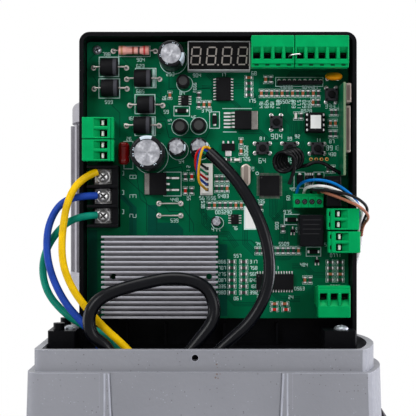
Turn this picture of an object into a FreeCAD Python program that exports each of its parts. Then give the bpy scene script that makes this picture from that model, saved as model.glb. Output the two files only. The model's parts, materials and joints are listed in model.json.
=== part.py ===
import FreeCAD, Part
import math
import os

# A sliding-gate motor with its cover off: a cast gear housing, a vertical motor with a worm drive, a pinion
# on the gate side, a release lever on the other side, and a control board standing in a tray. Millimetres,
# X right, Y back, Z up; the origin is the middle of the foot slots on the bottom face.

# Housing
RIM_TOP = 140.0
STEP_Z = 130.0
STEP_OUT = 3.0
DRAFT = math.radians(1.7)
RIM_LEFT, RIM_FRONT, RIM_REAR = -78.3, -93.0, 92.0
BOW_RADIUS, BOW_X, BOW_Y = 90.0, -11.3, -55.0
RIM_RIGHT = BOW_X + BOW_RADIUS
EDGE_BEVEL = 2.0
FRONT_CORNER, REAR_CORNER = 5.0, 14.0
RIM_WALL, FOOT_WALL, FLOOR = 3.2, 5.6, 6.0
PANEL_X0, PANEL_X1, PANEL_Z0, PANEL_DEEP, PANEL_BEVEL = -46.0, 34.5, 16.0, 1.5, 2.2
COVER_HOLE_X, COVER_HOLE_Z, COVER_HOLE_R = -5.8, 136.3, 1.5
SLOT_X, SLOT_Y, SLOT_R, SLOT_LENGTH = 50.0, 110.0, 5.5, 20.0
FOOT_THICK, FOOT_X0, FOOT_X1, FOOT_EDGE = 10.0, -72.0, 68.0, 13.0
DUCT_X, DUCT_Y, DUCT_R, DUCT_WALL = 25.0, 62.0, 15.0, 4.0
PILLARS = [(-67.0, -80.0), (56.0, -79.0), (-67.0, 78.0), (56.0, 78.0)]
PILLAR_R = 7.0
DECK_Z0, DECK_Z1 = 112.0, 120.0
SCREW_R, SCREW_HEAD_R, SCREW_HEAD = 2.5, 4.25, 5.0
LEFT_BOSS_R, RIGHT_BOSS_R = 36.0, 57.0

# Motor and worm drive
MOTOR_X, MOTOR_Y = -23.0, 19.0
MODULE, WHEEL_TEETH, WORM_PITCH_R = 2.5, 30, 12.5
AXIS_Z = 60.0
SLEEVE_Z0, SLEEVE_Z1, SLEEVE_R, FIN_R, FINS, FIN_THICK = 169.4, 247.3, 48.0, 52.0, 28, 3.0
CAP_Z0, CAP_Z1, CAP_R = 248.9, 259.9, 50.0
BORE_R = 44.0
CORE_Z0, CORE_Z1, ROTOR_R, AIR_GAP = 178.0, 238.0, 26.0, 0.5
SHAFT_R = 7.5
TIE_R, TIE_RING = 2.0, 47.5
LOW_BEARING_R, LOW_BEARING_Z0, LOW_BEARING_Z1 = 17.5, 15.0, 26.0
DECK_BEARING_R, DECK_BEARING_H = 20.0, 12.0
CAP_BEARING_R, CAP_BEARING_H, CAP_ROOF = 17.5, 10.1, 2.9
TIE_HEAD_DEEP = 6.0
RUN_FIT, GAP = 0.05, 0.3

# Output shaft, from the gate side to the release side
PINION_MODULE, PINION_TEETH, PINION_X0, PINION_WIDE = 4.0, 16, -116.0, 24.0
SEAT_R, JOURNAL_R, WHEEL_SEAT_R, END_R, HEX_FLATS = 11.0, 12.5, 15.0, 10.0, 24.0
LEFT_FACE, RIGHT_FACE = RIM_LEFT - 11.7, RIM_RIGHT + STEP_OUT
SEAL_WIDE, SEAL_R, BEARING_WIDE, BEARING_R = 7.0, 21.0, 15.0, 26.0
END_BEARING_R, END_BEARING_X0, END_BEARING_X1 = 23.5, 24.0, 38.0
WHEEL_WIDE, HUB_R, HUB_RIGHT = 18.0, 24.0, -8.0
CLUTCH_TRAVEL, DOG_DEEP = 5.5, 5.0
ROD_R, ROD_HEAD_R, ROD_HEAD_X = 5.0, 8.0, 52.0
CARRIAGE_R, CARRIAGE_PIN_X, BARREL_R = 13.0, 58.0, 20.0
COVER_R, COVER_PLUG_R, COVER_THICK, COVER_SCREW_RING = 52.0, 40.5, 3.0, 46.3
LEVER_HUB_R, LOCK_R = 23.5, 9.0
DOME_R, DOME_TIP_R, DOME_EDGE, DOME_X1 = 44.5, 32.0, 4.4, RIGHT_FACE + 12.3

# Control tray and board
BOARD_X0, BOARD_Z0, BOARD_FACE = -59.0, 149.7, -48.0
BOARD_W, BOARD_H, BOARD_T = 127.5, 134.7, 1.6
TRAY_WALL, TRAY_CORNER, TRAY_SIDE_GAP, TRAY_TOP_GAP = 2.0, 5.0, 0.4, 1.0
TRAY_X0 = BOARD_X0 - TRAY_SIDE_GAP - TRAY_WALL
TRAY_X1 = BOARD_X0 + BOARD_W + TRAY_SIDE_GAP + TRAY_WALL
TRAY_TOP = BOARD_Z0 + BOARD_H + TRAY_TOP_GAP + TRAY_WALL
TRAY_RIM, TRAY_BACK, TRAY_BACK_T = -60.4, -38.0, 2.0
FOOT_Z0, FOOT_Z1, BOSS_TOP = 133.0, 136.0, 146.3
BOARD_SCREWS = [(5.0, 130.7), (5.0, 4.0), (122.5, 132.3), (122.5, 4.0)]
TRAY_SCREWS = [(-64.7, -63.4), (62.8, -65.6)]
PLUG_PITCH, PLUG_DEEP, PLUG_TOP, PLUG_WIDE_H, HEADER_H = 5.08, 14.9, 20.0, 12.9, 9.0
CHIP_L, CHIP_W, CHIP_H = 3.2, 1.7, 0.7
BUTTON_R, BUTTON_TOP, SWITCH_H, BUTTON_PRESS = 1.75, 5.0, 3.5, 0.25

V = FreeCAD.Vector
CORNERS = (45, 135, 225, 315)
WHEEL_Y = MOTOR_Y - WORM_PITCH_R - MODULE * WHEEL_TEETH / 2
X_AXIS = V(1, 0, 0)


def box(x0, x1, y0, y1, z0, z1):
    return Part.makeBox(x1 - x0, y1 - y0, z1 - z0, V(x0, y0, z0))


def rod(a, b, r):
    """A round bar from point a to point b."""
    return Part.makeCylinder(r, (b - a).Length, a, b - a)


def upright(x, y, z0, z1, r):
    return rod(V(x, y, z0), V(x, y, z1), r)


def along_x(x0, x1, r, y=WHEEL_Y, z=AXIS_Z):
    return rod(V(x0, y, z), V(x1, y, z), r)


def rounded(shape, radius, axis):
    """The shape with its straight edges along one axis rounded."""
    edges = [e for e in shape.Edges if abs(abs(e.tangentAt(e.FirstParameter).dot(axis)) - 1) < 1e-6]
    return shape.makeFillet(radius, edges)


def joined(shapes):
    whole = shapes[0].fuse(shapes[1:]) if len(shapes) > 1 else shapes[0]
    return whole.removeSplitter()


def turned(shape, angle, point, axis):
    copy = shape.copy()
    copy.rotate(point, axis, angle)
    return copy


def around(shape, count, point, axis, start=0.0):
    return [turned(shape, start + 360.0 * i / count, point, axis) for i in range(count)]


def save(node, *shapes):
    solids = [s for shape in shapes for s in shape.Solids]
    for s in solids:
        if not s.isValid() or s.Volume <= 0:
            print("not sound:", node)
    whole = solids[0] if len(solids) == 1 else Part.makeCompound(solids)
    whole.exportStep("parts/%s.step" % node)
    print("%-24s %3d solids %10.1f mm3" % (node, len(solids), sum(s.Volume for s in solids)))


# Housing outline

def plan(offset, z):
    """The rim's outline in plan, moved outwards: left side straight, right side bowed, front edge cut off."""
    left, front, rear = RIM_LEFT - offset, RIM_FRONT - offset, RIM_REAR + offset
    bow = BOW_RADIUS + offset
    bow_x = lambda y: BOW_X + math.sqrt(bow ** 2 - (y - BOW_Y) ** 2)
    y_start, y_end = front + EDGE_BEVEL, 2 * BOW_Y - RIM_FRONT
    right, f, r = bow_x(y_end), FRONT_CORNER + offset, REAR_CORNER + offset
    lean = math.sqrt(0.5)
    at = lambda x, y: V(x, y, z)
    line = lambda a, b: Part.makeLine(a, b)
    arc = lambda a, m, b: Part.Arc(a, m, b).toShape()
    p = [at(left + f, front), at(bow_x(y_start) - EDGE_BEVEL, front), at(bow_x(y_start), y_start),
         at(right, y_end), at(right, rear - r), at(right - r, rear), at(left + r, rear), at(left, rear - r),
         at(left, front + f)]
    edges = [line(p[0], p[1]), line(p[1], p[2]), arc(p[2], at(BOW_X + bow, BOW_Y), p[3]), line(p[3], p[4]),
             arc(p[4], at(right - r + r * lean, rear - r + r * lean), p[5]), line(p[5], p[6]),
             arc(p[6], at(left + r - r * lean, rear - r + r * lean), p[7]), line(p[7], p[8]),
             arc(p[8], at(left + f - f * lean, front + f - f * lean), p[0])]
    return Part.Wire(edges)


def between(offset0, z0, offset1, z1):
    return Part.makeLoft([plan(offset0, z0), plan(offset1, z1)], True, True)


def front_panel():
    """The sunk panel in the front face, with bevelled edges, following the draft of the wall."""
    def rectangle(deep, grow):
        points = []
        for x, z in [(PANEL_X0 - grow, PANEL_Z0 - grow), (PANEL_X1 + grow, PANEL_Z0 - grow),
                     (PANEL_X1 + grow, STEP_Z + 5), (PANEL_X0 - grow, STEP_Z + 5)]:
            points.append(V(x, RIM_FRONT - STEP_OUT - (STEP_Z - z) * math.tan(DRAFT) + deep, z))
        return Part.makePolygon(points + points[:1])
    cutter = Part.makeLoft([rectangle(-1.0, PANEL_BEVEL * 1.5), rectangle(PANEL_DEEP, 0.0)], True, True)
    return cutter.common(box(-200, 200, -200, 200, 0, STEP_Z))


def gear_housing():
    """The casting as touching solids: two feet, the gear case below the deck and the rim's four walls."""
    spread = STEP_OUT + STEP_Z * math.tan(DRAFT)
    foot_y = SLOT_Y + FOOT_EDGE
    feet = rounded(box(FOOT_X0, FOOT_X1, -foot_y, foot_y, 0, FOOT_THICK), 8, V(0, 0, 1))
    body = between(spread, 0, STEP_OUT, STEP_Z).fuse([between(0, STEP_Z, 0, RIM_TOP), feet])
    body = body.cut(front_panel())
    bosses = [along_x(LEFT_FACE, 0, LEFT_BOSS_R), along_x(0, RIGHT_FACE, RIGHT_BOSS_R)]
    body = body.fuse(bosses)
    inside = between(spread - FOOT_WALL, FLOOR, -RIM_WALL, RIM_TOP)
    body = body.cut(inside)
    seat = along_x(RIGHT_FACE - 20, RIGHT_FACE - 1, RIGHT_BOSS_R).cut(box(0, 200, -200, 200, DECK_Z0, 200))
    fills = [along_x(LEFT_FACE + 1, LEFT_FACE + 26, LEFT_BOSS_R), seat,
             on_motor(FLOOR - 1, LOW_BEARING_Z1, LOW_BEARING_R + 5.5),
             upright(DUCT_X, DUCT_Y, FLOOR - 1, DECK_Z0, DUCT_R + DUCT_WALL)]
    fills += [upright(x, y, FLOOR - 1, DECK_Z0, PILLAR_R) for x, y in PILLARS]
    body = body.fuse(fills)
    cuts = [along_x(LEFT_FACE - 1, LEFT_FACE + SEAL_WIDE, SEAL_R),
            along_x(LEFT_FACE + SEAL_WIDE, LEFT_FACE + 30, BEARING_R),
            along_x(RIGHT_FACE - 30, RIGHT_FACE + 1, COVER_PLUG_R + GAP),
            along_x(RIGHT_FACE - COVER_THICK, RIGHT_FACE + 9, COVER_R + GAP),
            on_motor(LOW_BEARING_Z0, LOW_BEARING_Z1 + 1, LOW_BEARING_R),
            on_motor(LOW_BEARING_Z0 - 3, LOW_BEARING_Z0 + 1, 12),
            upright(DUCT_X, DUCT_Y, -1, DECK_Z0 + 1, DUCT_R),
            rod(V(COVER_HOLE_X, RIM_FRONT - 1, COVER_HOLE_Z), V(COVER_HOLE_X, RIM_FRONT + 6, COVER_HOLE_Z),
                COVER_HOLE_R)]
    cuts += [upright(x, y, DECK_Z0 - 18, DECK_Z0 + 1, SCREW_R) for x, y in PILLARS]
    cuts += [along_x(RIGHT_FACE - 18, RIGHT_FACE, SCREW_R, WHEEL_Y + y, AXIS_Z + z)
             for y, z in corner_places(COVER_SCREW_RING)]
    half = SLOT_LENGTH / 2 - SLOT_R
    for x in (-SLOT_X, SLOT_X):
        for y in (-SLOT_Y, SLOT_Y):
            ends = [upright(x + s * half, y, -1, FOOT_THICK + 1, SLOT_R) for s in (-1, 1)]
            cuts += ends + [box(x - half, x + half, y - SLOT_R, y + SLOT_R, -1, FOOT_THICK + 1)]
    body = body.cut(cuts).removeSplitter()
    front, rear = RIM_FRONT - spread, RIM_REAR + spread
    rear_wall = RIM_REAR - REAR_CORNER - 1
    shares = [box(-200, 200, -200, front, -1, 200), box(-200, 200, rear, 200, -1, 200),
              box(-200, 200, front, rear, -1, DECK_Z0), box(-200, 200, front, RIM_FRONT + 8, DECK_Z0, 200),
              box(-200, 200, rear_wall, rear, DECK_Z0, 200)]
    shares += [box(x, x + 200, RIM_FRONT + 8, rear_wall, DECK_Z0, 200) for x in (-200, 0)]
    return [body.common(share) for share in shares]


def corner_places(ring):
    """Four places on a ring, midway between the axes."""
    return [(ring * math.cos(math.radians(a)), ring * math.sin(math.radians(a))) for a in CORNERS]


def grommet_places():
    """Where the cords go down through the deck: x, y, cord diameter, in the order of the cords below."""
    runs = [(wire[-1], MOTOR_WIRE_D) for wire in (MOTOR_WIRE_U, MOTOR_WIRE_V, MOTOR_WIRE_W)]
    runs += [(POWER_LOOP[0], POWER_D), (POWER_LOOP[-1], POWER_D)]
    runs += [(SIGNAL_CABLE[-1], SIGNAL_D), (SHEATH[-1], SHEATH_D)]
    return [(x, y, d) for (x, y, z), d in runs]


def gearbox_deck():
    """The plate over the gear case, and the four posts on it that carry the tray's foot."""
    deck = between(-RIM_WALL - 0.2, DECK_Z0, -RIM_WALL - 0.2, DECK_Z1)
    posts = [upright(x, y, DECK_Z1, FOOT_Z0, 5.0) for x, y in TRAY_SCREWS + [(-60.0, -42.0), (55.0, -42.0)]]
    cuts = [on_motor(DECK_Z0 - 1, DECK_Z1 + 1, DECK_BEARING_R),
            upright(DUCT_X, DUCT_Y, DECK_Z0 - 1, DECK_Z1 + 1, DUCT_R)]
    cuts += [upright(x, y, DECK_Z0 - 1, DECK_Z1 + 1, SCREW_R + 0.3) for x, y in PILLARS]
    cuts += [upright(x, y, DECK_Z0 - 1, FOOT_Z0 + 1, 1.8) for x, y in TRAY_SCREWS]
    cuts += at_ties(DECK_Z0 - 1, DECK_Z1 + 1, TIE_R)
    cuts += [upright(x, y, DECK_Z0 - 1, DECK_Z1 + 1, d / 2 + 0.6) for x, y, d in grommet_places()]
    return [solid.cut(cuts) for solid in [deck] + posts]


def cable_grommets():
    rings = []
    for x, y, d in grommet_places():
        lip = upright(x, y, DECK_Z1, DECK_Z1 + 3, d / 2 + 1.4)
        rings.append(lip.fuse(upright(x, y, DECK_Z0, DECK_Z1, d / 2 + 0.6)))
    return rings


def socket_screw(head_at, direction, length, r=SCREW_R):
    """A socket-head screw whose head sits on a face; direction points into the material."""
    head = rod(head_at, head_at - direction * SCREW_HEAD, SCREW_HEAD_R * r / SCREW_R)
    key = rod(head_at - direction * SCREW_HEAD, head_at - direction * 2, 0.55 * SCREW_HEAD_R * r / SCREW_R)
    return head.cut(key).fuse(rod(head_at, head_at + direction * length, r))


def housing_screws():
    down, screws = V(0, 0, -1), []
    screws += [socket_screw(V(x, y, DECK_Z1), down, 22) for x, y in PILLARS]
    for y, z in corner_places(COVER_SCREW_RING):
        at = V(RIGHT_FACE, WHEEL_Y + y, AXIS_Z + z)
        head = rod(at, at - X_AXIS * COVER_THICK, SCREW_HEAD_R)
        screws.append(head.fuse(rod(at, at - X_AXIS * 16, SCREW_R)))
    top = CAP_Z1 - TIE_HEAD_DEEP
    for dx, dy in corner_places(TIE_RING):
        screws.append(socket_screw(V(MOTOR_X + dx, MOTOR_Y + dy, top), down, top - DECK_Z0 - 1, TIE_R))
    return screws


# Motor

def on_motor(z0, z1, r):
    return upright(MOTOR_X, MOTOR_Y, z0, z1, r)


def at_ties(z0, z1, r):
    """Round bars at the places of the four tie bolts."""
    return [upright(MOTOR_X + dx, MOTOR_Y + dy, z0, z1, r) for dx, dy in corner_places(TIE_RING)]


def motor_sleeve():
    """The finned sleeve round the stator, with four lugs for the tie bolts."""
    centre, up = V(MOTOR_X, MOTOR_Y, 0), V(0, 0, 1)
    fin = box(MOTOR_X + SLEEVE_R - 1, MOTOR_X + FIN_R, MOTOR_Y - FIN_THICK / 2, MOTOR_Y + FIN_THICK / 2,
              SLEEVE_Z0, SLEEVE_Z1)
    lug = box(MOTOR_X + SLEEVE_R - 3, MOTOR_X + FIN_R, MOTOR_Y - 5, MOTOR_Y + 5, SLEEVE_Z0, SLEEVE_Z1)
    body = on_motor(SLEEVE_Z0, SLEEVE_Z1, SLEEVE_R).fuse(
        around(fin, FINS, centre, up) + around(lug, 4, centre, up, 45))
    cuts = [on_motor(SLEEVE_Z0 - 1, SLEEVE_Z1 + 1, BORE_R)]
    cuts += at_ties(SLEEVE_Z0 - 1, SLEEVE_Z1 + 1, TIE_R + 0.1)
    return body.cut(cuts).removeSplitter()


def motor_cap():
    top = on_motor(CAP_Z0, CAP_Z1, CAP_R + 1)
    top = top.makeFillet(3.5, [e for e in top.Edges if e.BoundBox.ZMin > CAP_Z1 - 0.1])
    body = top.fuse(on_motor(SLEEVE_Z1, CAP_Z0, CAP_R - 2))
    body = body.cut(on_motor(SLEEVE_Z1 - 1, CAP_Z1 - 6.5, 40)).fuse(on_motor(SLEEVE_Z1 - 0.5, CAP_Z1 - 1, 22))
    cuts = [on_motor(SLEEVE_Z1 - 2, CAP_Z1 - CAP_ROOF, CAP_BEARING_R)]
    cuts += at_ties(SLEEVE_Z1 - 1, CAP_Z1, TIE_R + 0.1) + at_ties(CAP_Z1 - TIE_HEAD_DEEP, CAP_Z1 + 1, 3.6)
    return body.cut(cuts)


def motor_bell():
    """The lower bell that carries the motor on the deck."""
    body = on_motor(DECK_Z1, DECK_Z1 + 6, 52).fuse([on_motor(DECK_Z1, SLEEVE_Z0 - 10, 42),
                                                     on_motor(SLEEVE_Z0 - 10, SLEEVE_Z0, 52)])
    cuts = [on_motor(DECK_Z1 + 18, SLEEVE_Z0 + 1, 38), on_motor(SLEEVE_Z0 - 7, SLEEVE_Z0 + 1, BORE_R),
            on_motor(DECK_Z1 - 1, DECK_Z1 + DECK_BEARING_H, DECK_BEARING_R),
            on_motor(DECK_Z1, DECK_Z1 + 20, 12)]
    return body.cut(cuts + at_ties(DECK_Z1 - 1, SLEEVE_Z0 + 1, TIE_R + 0.1))


def stator_core():
    return on_motor(CORE_Z0, CORE_Z1, BORE_R).cut(on_motor(CORE_Z0 - 1, CORE_Z1 + 1, ROTOR_R + AIR_GAP))


def stator_winding():
    rings = [on_motor(CORE_Z0 - 12, CORE_Z0, 42).cut(on_motor(CORE_Z0 - 13, CORE_Z0 + 1, 30)),
             on_motor(CORE_Z1, CORE_Z1 + 8, 42).cut(on_motor(CORE_Z1 - 1, CORE_Z1 + 9, 30))]
    at_height = lambda e, z: abs(e.BoundBox.ZMin - z) < 0.01 and e.BoundBox.ZLength < 0.01
    return [r.makeFillet(3, [e for e in r.Edges if at_height(e, z)])
            for r, z in zip(rings, (CORE_Z0 - 12, CORE_Z1 + 8))]


def rotor_core():
    return on_motor(CORE_Z0, CORE_Z1, ROTOR_R).cut(on_motor(CORE_Z0 - 1, CORE_Z1 + 1, SHAFT_R))


def worm_shaft():
    """The motor shaft with the worm cut on it: a right-hand thread with its middle at the wheel's height."""
    pitch, turns = math.pi * MODULE, 4.5
    root, tip = WORM_PITCH_R - 1.2 * MODULE, WORM_PITCH_R + MODULE
    half_root, half_tip = 2.4, 0.85
    z0 = AXIS_Z - (0.75 + 2) * pitch
    helix = Part.makeHelix(pitch, turns * pitch, root)
    outline = Part.makePolygon([V(root - 0.8, 0, -half_root), V(tip, 0, -half_tip), V(tip, 0, half_tip),
                                V(root - 0.8, 0, half_root), V(root - 0.8, 0, -half_root)])
    thread = Part.Wire(helix.Edges).makePipeShell([outline], True, True)
    thread.translate(V(MOTOR_X, MOTOR_Y, z0))
    core = on_motor(AXIS_Z - 26, AXIS_Z + 26, root)
    shaft = on_motor(13, CAP_Z1 - 4, SHAFT_R - RUN_FIT)
    return shaft.fuse(core).fuse(thread)


def ball_bearings():
    """Each bearing as one shielded ring, pressed into its seat, with a running fit on the shaft."""
    def ring(a, b, outer, inner):
        axis = (b - a) * (1 / (b - a).Length)
        body = rod(a, b, outer).cut(rod(a - axis, b + axis, inner))
        mid = (outer + inner) / 2
        for end, way in ((a, 1), (b, -1)):
            deep = end + axis * (way * 0.8)
            body = body.cut(rod(end, deep, mid + 2.2).cut(rod(end, deep, mid - 2.2)))
        return body
    m = lambda z: V(MOTOR_X, MOTOR_Y, z)
    s = lambda x: V(x, WHEEL_Y, AXIS_Z)
    left, cap = LEFT_FACE + SEAL_WIDE, CAP_Z1 - CAP_ROOF
    return [ring(m(LOW_BEARING_Z0), m(LOW_BEARING_Z1), LOW_BEARING_R, SHAFT_R),
            ring(m(DECK_Z1), m(DECK_Z1 + DECK_BEARING_H), DECK_BEARING_R, SHAFT_R),
            ring(m(cap - CAP_BEARING_H), m(cap), CAP_BEARING_R, SHAFT_R),
            ring(s(left), s(left + BEARING_WIDE), BEARING_R, JOURNAL_R),
            ring(s(END_BEARING_X0), s(END_BEARING_X1), END_BEARING_R, END_R)]


# Gear train

def gear_outline(x, teeth, pitch_r, tip_r, root_r, half_pitch, half_tip, half_root, turn):
    """A closed outline of straight-flanked teeth in the plane at x; a space faces +Y when turn is 0."""
    points = []
    for i in range(teeth):
        middle = 2 * math.pi * (i + 0.5) / teeth + turn
        for r, half in ((root_r, -half_root), (pitch_r, -half_pitch), (tip_r, -half_tip), (tip_r, half_tip),
                        (pitch_r, half_pitch), (root_r, half_root)):
            a = middle + half / r
            points.append(V(x, WHEEL_Y + r * math.cos(a), AXIS_Z + r * math.sin(a)))
    return Part.makePolygon(points + points[:1])


def worm_wheel():
    pitch_r = MODULE * WHEEL_TEETH / 2
    lean = math.tan(math.atan(MODULE / (2 * WORM_PITCH_R))) / pitch_r
    outlines = [gear_outline(MOTOR_X + x, WHEEL_TEETH, pitch_r, pitch_r + MODULE, pitch_r - 1.25 * MODULE,
                             1.75, 0.8, 2.6, x * lean) for x in (-WHEEL_WIDE / 2, WHEEL_WIDE / 2)]
    rim = Part.makeLoft(outlines, True, True)
    wheel = rim.fuse(along_x(MOTOR_X - 15, HUB_RIGHT, HUB_R)).cut(along_x(-100, 50, WHEEL_SEAT_R + RUN_FIT))
    slot = box(HUB_RIGHT - DOG_DEEP - 0.5, HUB_RIGHT + 1, WHEEL_Y + 16, WHEEL_Y + 26, AXIS_Z - 4, AXIS_Z + 4)
    holes = along_x(-100, 50, 4.5, WHEEL_Y + 29.2)
    centre = V(0, WHEEL_Y, AXIS_Z)
    return wheel.cut(around(slot, 3, centre, X_AXIS) + around(holes, 6, centre, X_AXIS, 30))


def hexagon(x0, x1, flats):
    corner = flats / math.sqrt(3)
    angles = [math.radians(60 * i) for i in range(7)]
    points = [V(x0, WHEEL_Y + corner * math.cos(a), AXIS_Z + corner * math.sin(a)) for a in angles]
    return Part.Face(Part.makePolygon(points)).extrude(V(x1 - x0, 0, 0))


def output_shaft():
    """Pinion seat, journal, wheel seat, hexagon for the clutch and end journal, hollow for the pull rod."""
    journal_x1, hexagon_x1 = LEFT_FACE + SEAL_WIDE + BEARING_WIDE, END_BEARING_X0 - 1
    shaft = joined([along_x(PINION_X0 - 5, LEFT_FACE - 1, SEAT_R),
                    along_x(LEFT_FACE - 1, journal_x1, JOURNAL_R - RUN_FIT),
                    along_x(journal_x1, HUB_RIGHT, WHEEL_SEAT_R), hexagon(HUB_RIGHT, hexagon_x1, HEX_FLATS),
                    along_x(hexagon_x1, END_BEARING_X1 - 0.5, END_R - RUN_FIT)])
    cuts = [along_x(-3, 41, ROD_R + 0.2),
            box(-1.4, 11.0, WHEEL_Y - 2.8, WHEEL_Y + 2.8, AXIS_Z - 20, AXIS_Z + 20),
            along_x(PINION_X0 - 6, PINION_X0 + 18, 4.0), pinion_key()]
    return shaft.cut(cuts)


def pinion_key():
    return box(PINION_X0 + 3, PINION_X0 + 21, WHEEL_Y - 3, WHEEL_Y + 3, AXIS_Z + 7.5, AXIS_Z + SEAT_R + 2.8)


def drive_pinion():
    pitch_r = PINION_MODULE * PINION_TEETH / 2
    tip_r, root_r = pitch_r + PINION_MODULE, pitch_r - 1.25 * PINION_MODULE
    outlines = [gear_outline(x, PINION_TEETH, pitch_r, tip_r, root_r, 3.1, 1.3, 4.4, 0.0)
                for x in (PINION_X0, PINION_X0 + PINION_WIDE)]
    body = Part.makeLoft(outlines, True, True)
    return body.cut([along_x(-200, 0, SEAT_R),
                     box(-200, 0, WHEEL_Y - 3, WHEEL_Y + 3, AXIS_Z, AXIS_Z + SEAT_R + 2.8)])


def pinion_fastening():
    """The key, and the end bolt on its washer."""
    x = PINION_X0
    washer = along_x(x - 8.0, x - 5.0, 16).cut(along_x(x - 9, x, 4.0))
    spacer = along_x(x - 5.0, x, 16).cut(along_x(x - 6, x + 1, SEAT_R))
    bolt = hexagon(x - 13.5, x - 8.0, 13.0).fuse(along_x(x - 8.0, x + 17, 4.0))
    return [pinion_key(), washer, spacer, bolt]


def output_seal():
    x0, x1 = LEFT_FACE, LEFT_FACE + SEAL_WIDE
    ring = along_x(x0, x1, SEAL_R).cut(along_x(x0 - 1, x1 + 1, JOURNAL_R))
    return ring.cut(along_x(x0 - 1, x0 + 3, 19).cut(along_x(x0 - 2, x0 + 4, 15)))


# Release

def clutch_sleeve():
    """Engaged: its dogs stand in the wheel's slots, and it slides along the hexagon to the right."""
    x0 = HUB_RIGHT + 0.5
    body = along_x(x0, x0 + 15.5, HUB_R).cut(hexagon(-50, 50, HEX_FLATS + 0.2))
    dog = box(x0 - DOG_DEEP, x0 + 1, WHEEL_Y + 16.5, WHEEL_Y + 23.5, AXIS_Z - 3.7, AXIS_Z + 3.7)
    dogs = around(dog, 3, V(0, WHEEL_Y, AXIS_Z), X_AXIS)
    body = body.fuse(dogs)
    return body.cut(upright(2, WHEEL_Y, AXIS_Z - 30, AXIS_Z + 30, 2.5))


def pull_rod():
    return joined([along_x(-2.5, ROD_HEAD_X, ROD_R), along_x(ROD_HEAD_X, ROD_HEAD_X + 4, ROD_HEAD_R),
                   upright(2, WHEEL_Y, AXIS_Z - 22, AXIS_Z + 22, 2.5)])


def pull_carriage():
    """The block that takes the rod's head in a slot open below, with two pins in the barrel's slots."""
    body = along_x(46, 62, CARRIAGE_R)
    gap = 0.4
    cuts = []
    for x0, x1, r in [(45, 53, ROD_R + gap), (ROD_HEAD_X - gap, ROD_HEAD_X + 4 + gap, ROD_HEAD_R + gap)]:
        cuts += [along_x(x0, x1, r), box(x0, x1, WHEEL_Y - r, WHEEL_Y + r, AXIS_Z - 30, AXIS_Z)]
    x = CARRIAGE_PIN_X + 0.5
    pins = [rod(V(x, WHEEL_Y + s * 11, AXIS_Z), V(x, WHEEL_Y + s * 23, AXIS_Z), 1.9) for s in (-1, 1)]
    return joined([body.cut(cuts)] + pins)


def gear_cover():
    """The cover that closes the gear chamber on the release side and holds the shaft's end bearing."""
    inner = RIGHT_FACE - COVER_THICK
    body = joined([along_x(inner, RIGHT_FACE, COVER_R), along_x(66, RIGHT_FACE - 2, COVER_PLUG_R),
                   along_x(END_BEARING_X0 - 2, 67, END_BEARING_R + 5.5)])
    pin_x0, pin_x1, pin_y = CARRIAGE_PIN_X - 3, CARRIAGE_PIN_X + CLUTCH_TRAVEL + 3, 23.6
    cuts = [along_x(END_BEARING_X0 - 3, END_BEARING_X1, END_BEARING_R), along_x(37, 45, 9.0),
            along_x(44, RIGHT_FACE + 1, BARREL_R + GAP),
            box(pin_x0, pin_x1, WHEEL_Y - pin_y, WHEEL_Y + pin_y, AXIS_Z - 2.3, AXIS_Z + 2.3)]
    for y, z in corner_places(COVER_SCREW_RING):
        cuts += [along_x(inner, RIGHT_FACE + 1, SCREW_HEAD_R + 0.2, WHEEL_Y + y, AXIS_Z + z)]
    return body.cut(cuts)


def release_escutcheon():
    edge = RIGHT_FACE + DOME_EDGE
    face = along_x(RIGHT_FACE, edge, DOME_R)
    dome = Part.makeCone(DOME_R, DOME_TIP_R, DOME_X1 - edge, V(edge, WHEEL_Y, AXIS_Z), X_AXIS)
    dome = joined([face, dome])
    dome = dome.makeFillet(1.2, [e for e in dome.Edges if e.BoundBox.XMin > DOME_X1 - 0.1])
    return dome.cut([along_x(RIGHT_FACE - 1, RIGHT_FACE + 4.5, 29),
                     along_x(RIGHT_FACE, DOME_X1 + 1, LEVER_HUB_R + GAP)])


def release_lever():
    """A wing handle on a barrel; two curved slots in the barrel draw the carriage out as the lever turns."""
    barrel = along_x(45, RIGHT_FACE + 1, BARREL_R).cut(along_x(44, 72, CARRIAGE_R + GAP))
    collar = along_x(RIGHT_FACE + 0.3, RIGHT_FACE + 4.1, 27)
    hub = along_x(RIGHT_FACE + 2, DOME_X1 + 3, LEVER_HUB_R)
    wing = box(DOME_X1 + 1, DOME_X1 + 17, WHEEL_Y - 36, WHEEL_Y + 36, AXIS_Z - 9.5, AXIS_Z + 9.5)
    wing = rounded(wing, 8.5, X_AXIS)
    wing = wing.makeFillet(2.5, [e for e in wing.Edges if e.BoundBox.XMin > DOME_X1 + 16.9])
    body = joined([barrel, collar, hub, wing])
    centre, steps = V(0, WHEEL_Y, AXIS_Z), 24
    slots = []
    for i in range(steps + 1):
        x = CARRIAGE_PIN_X + 0.5 + CLUTCH_TRAVEL * i / steps
        hole = rod(V(x, WHEEL_Y - 30, AXIS_Z), V(x, WHEEL_Y + 30, AXIS_Z), 2.5)
        slots.append(turned(hole, -90.0 * i / steps, centre, X_AXIS))
    slots.append(along_x(DOME_X1 + 3, DOME_X1 + 20, LOCK_R + GAP))
    return body.cut(slots)


def lock_barrel():
    x1 = DOME_X1 + 18
    body = along_x(DOME_X1 + 3, x1, LOCK_R)
    body = body.makeFillet(0.6, [e for e in body.Edges if e.BoundBox.XMin > x1 - 0.1])
    return body.cut(box(x1 - 7, x1 + 1, WHEEL_Y - 4, WHEEL_Y + 4, AXIS_Z - 0.8, AXIS_Z + 0.8))


# Control tray

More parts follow.
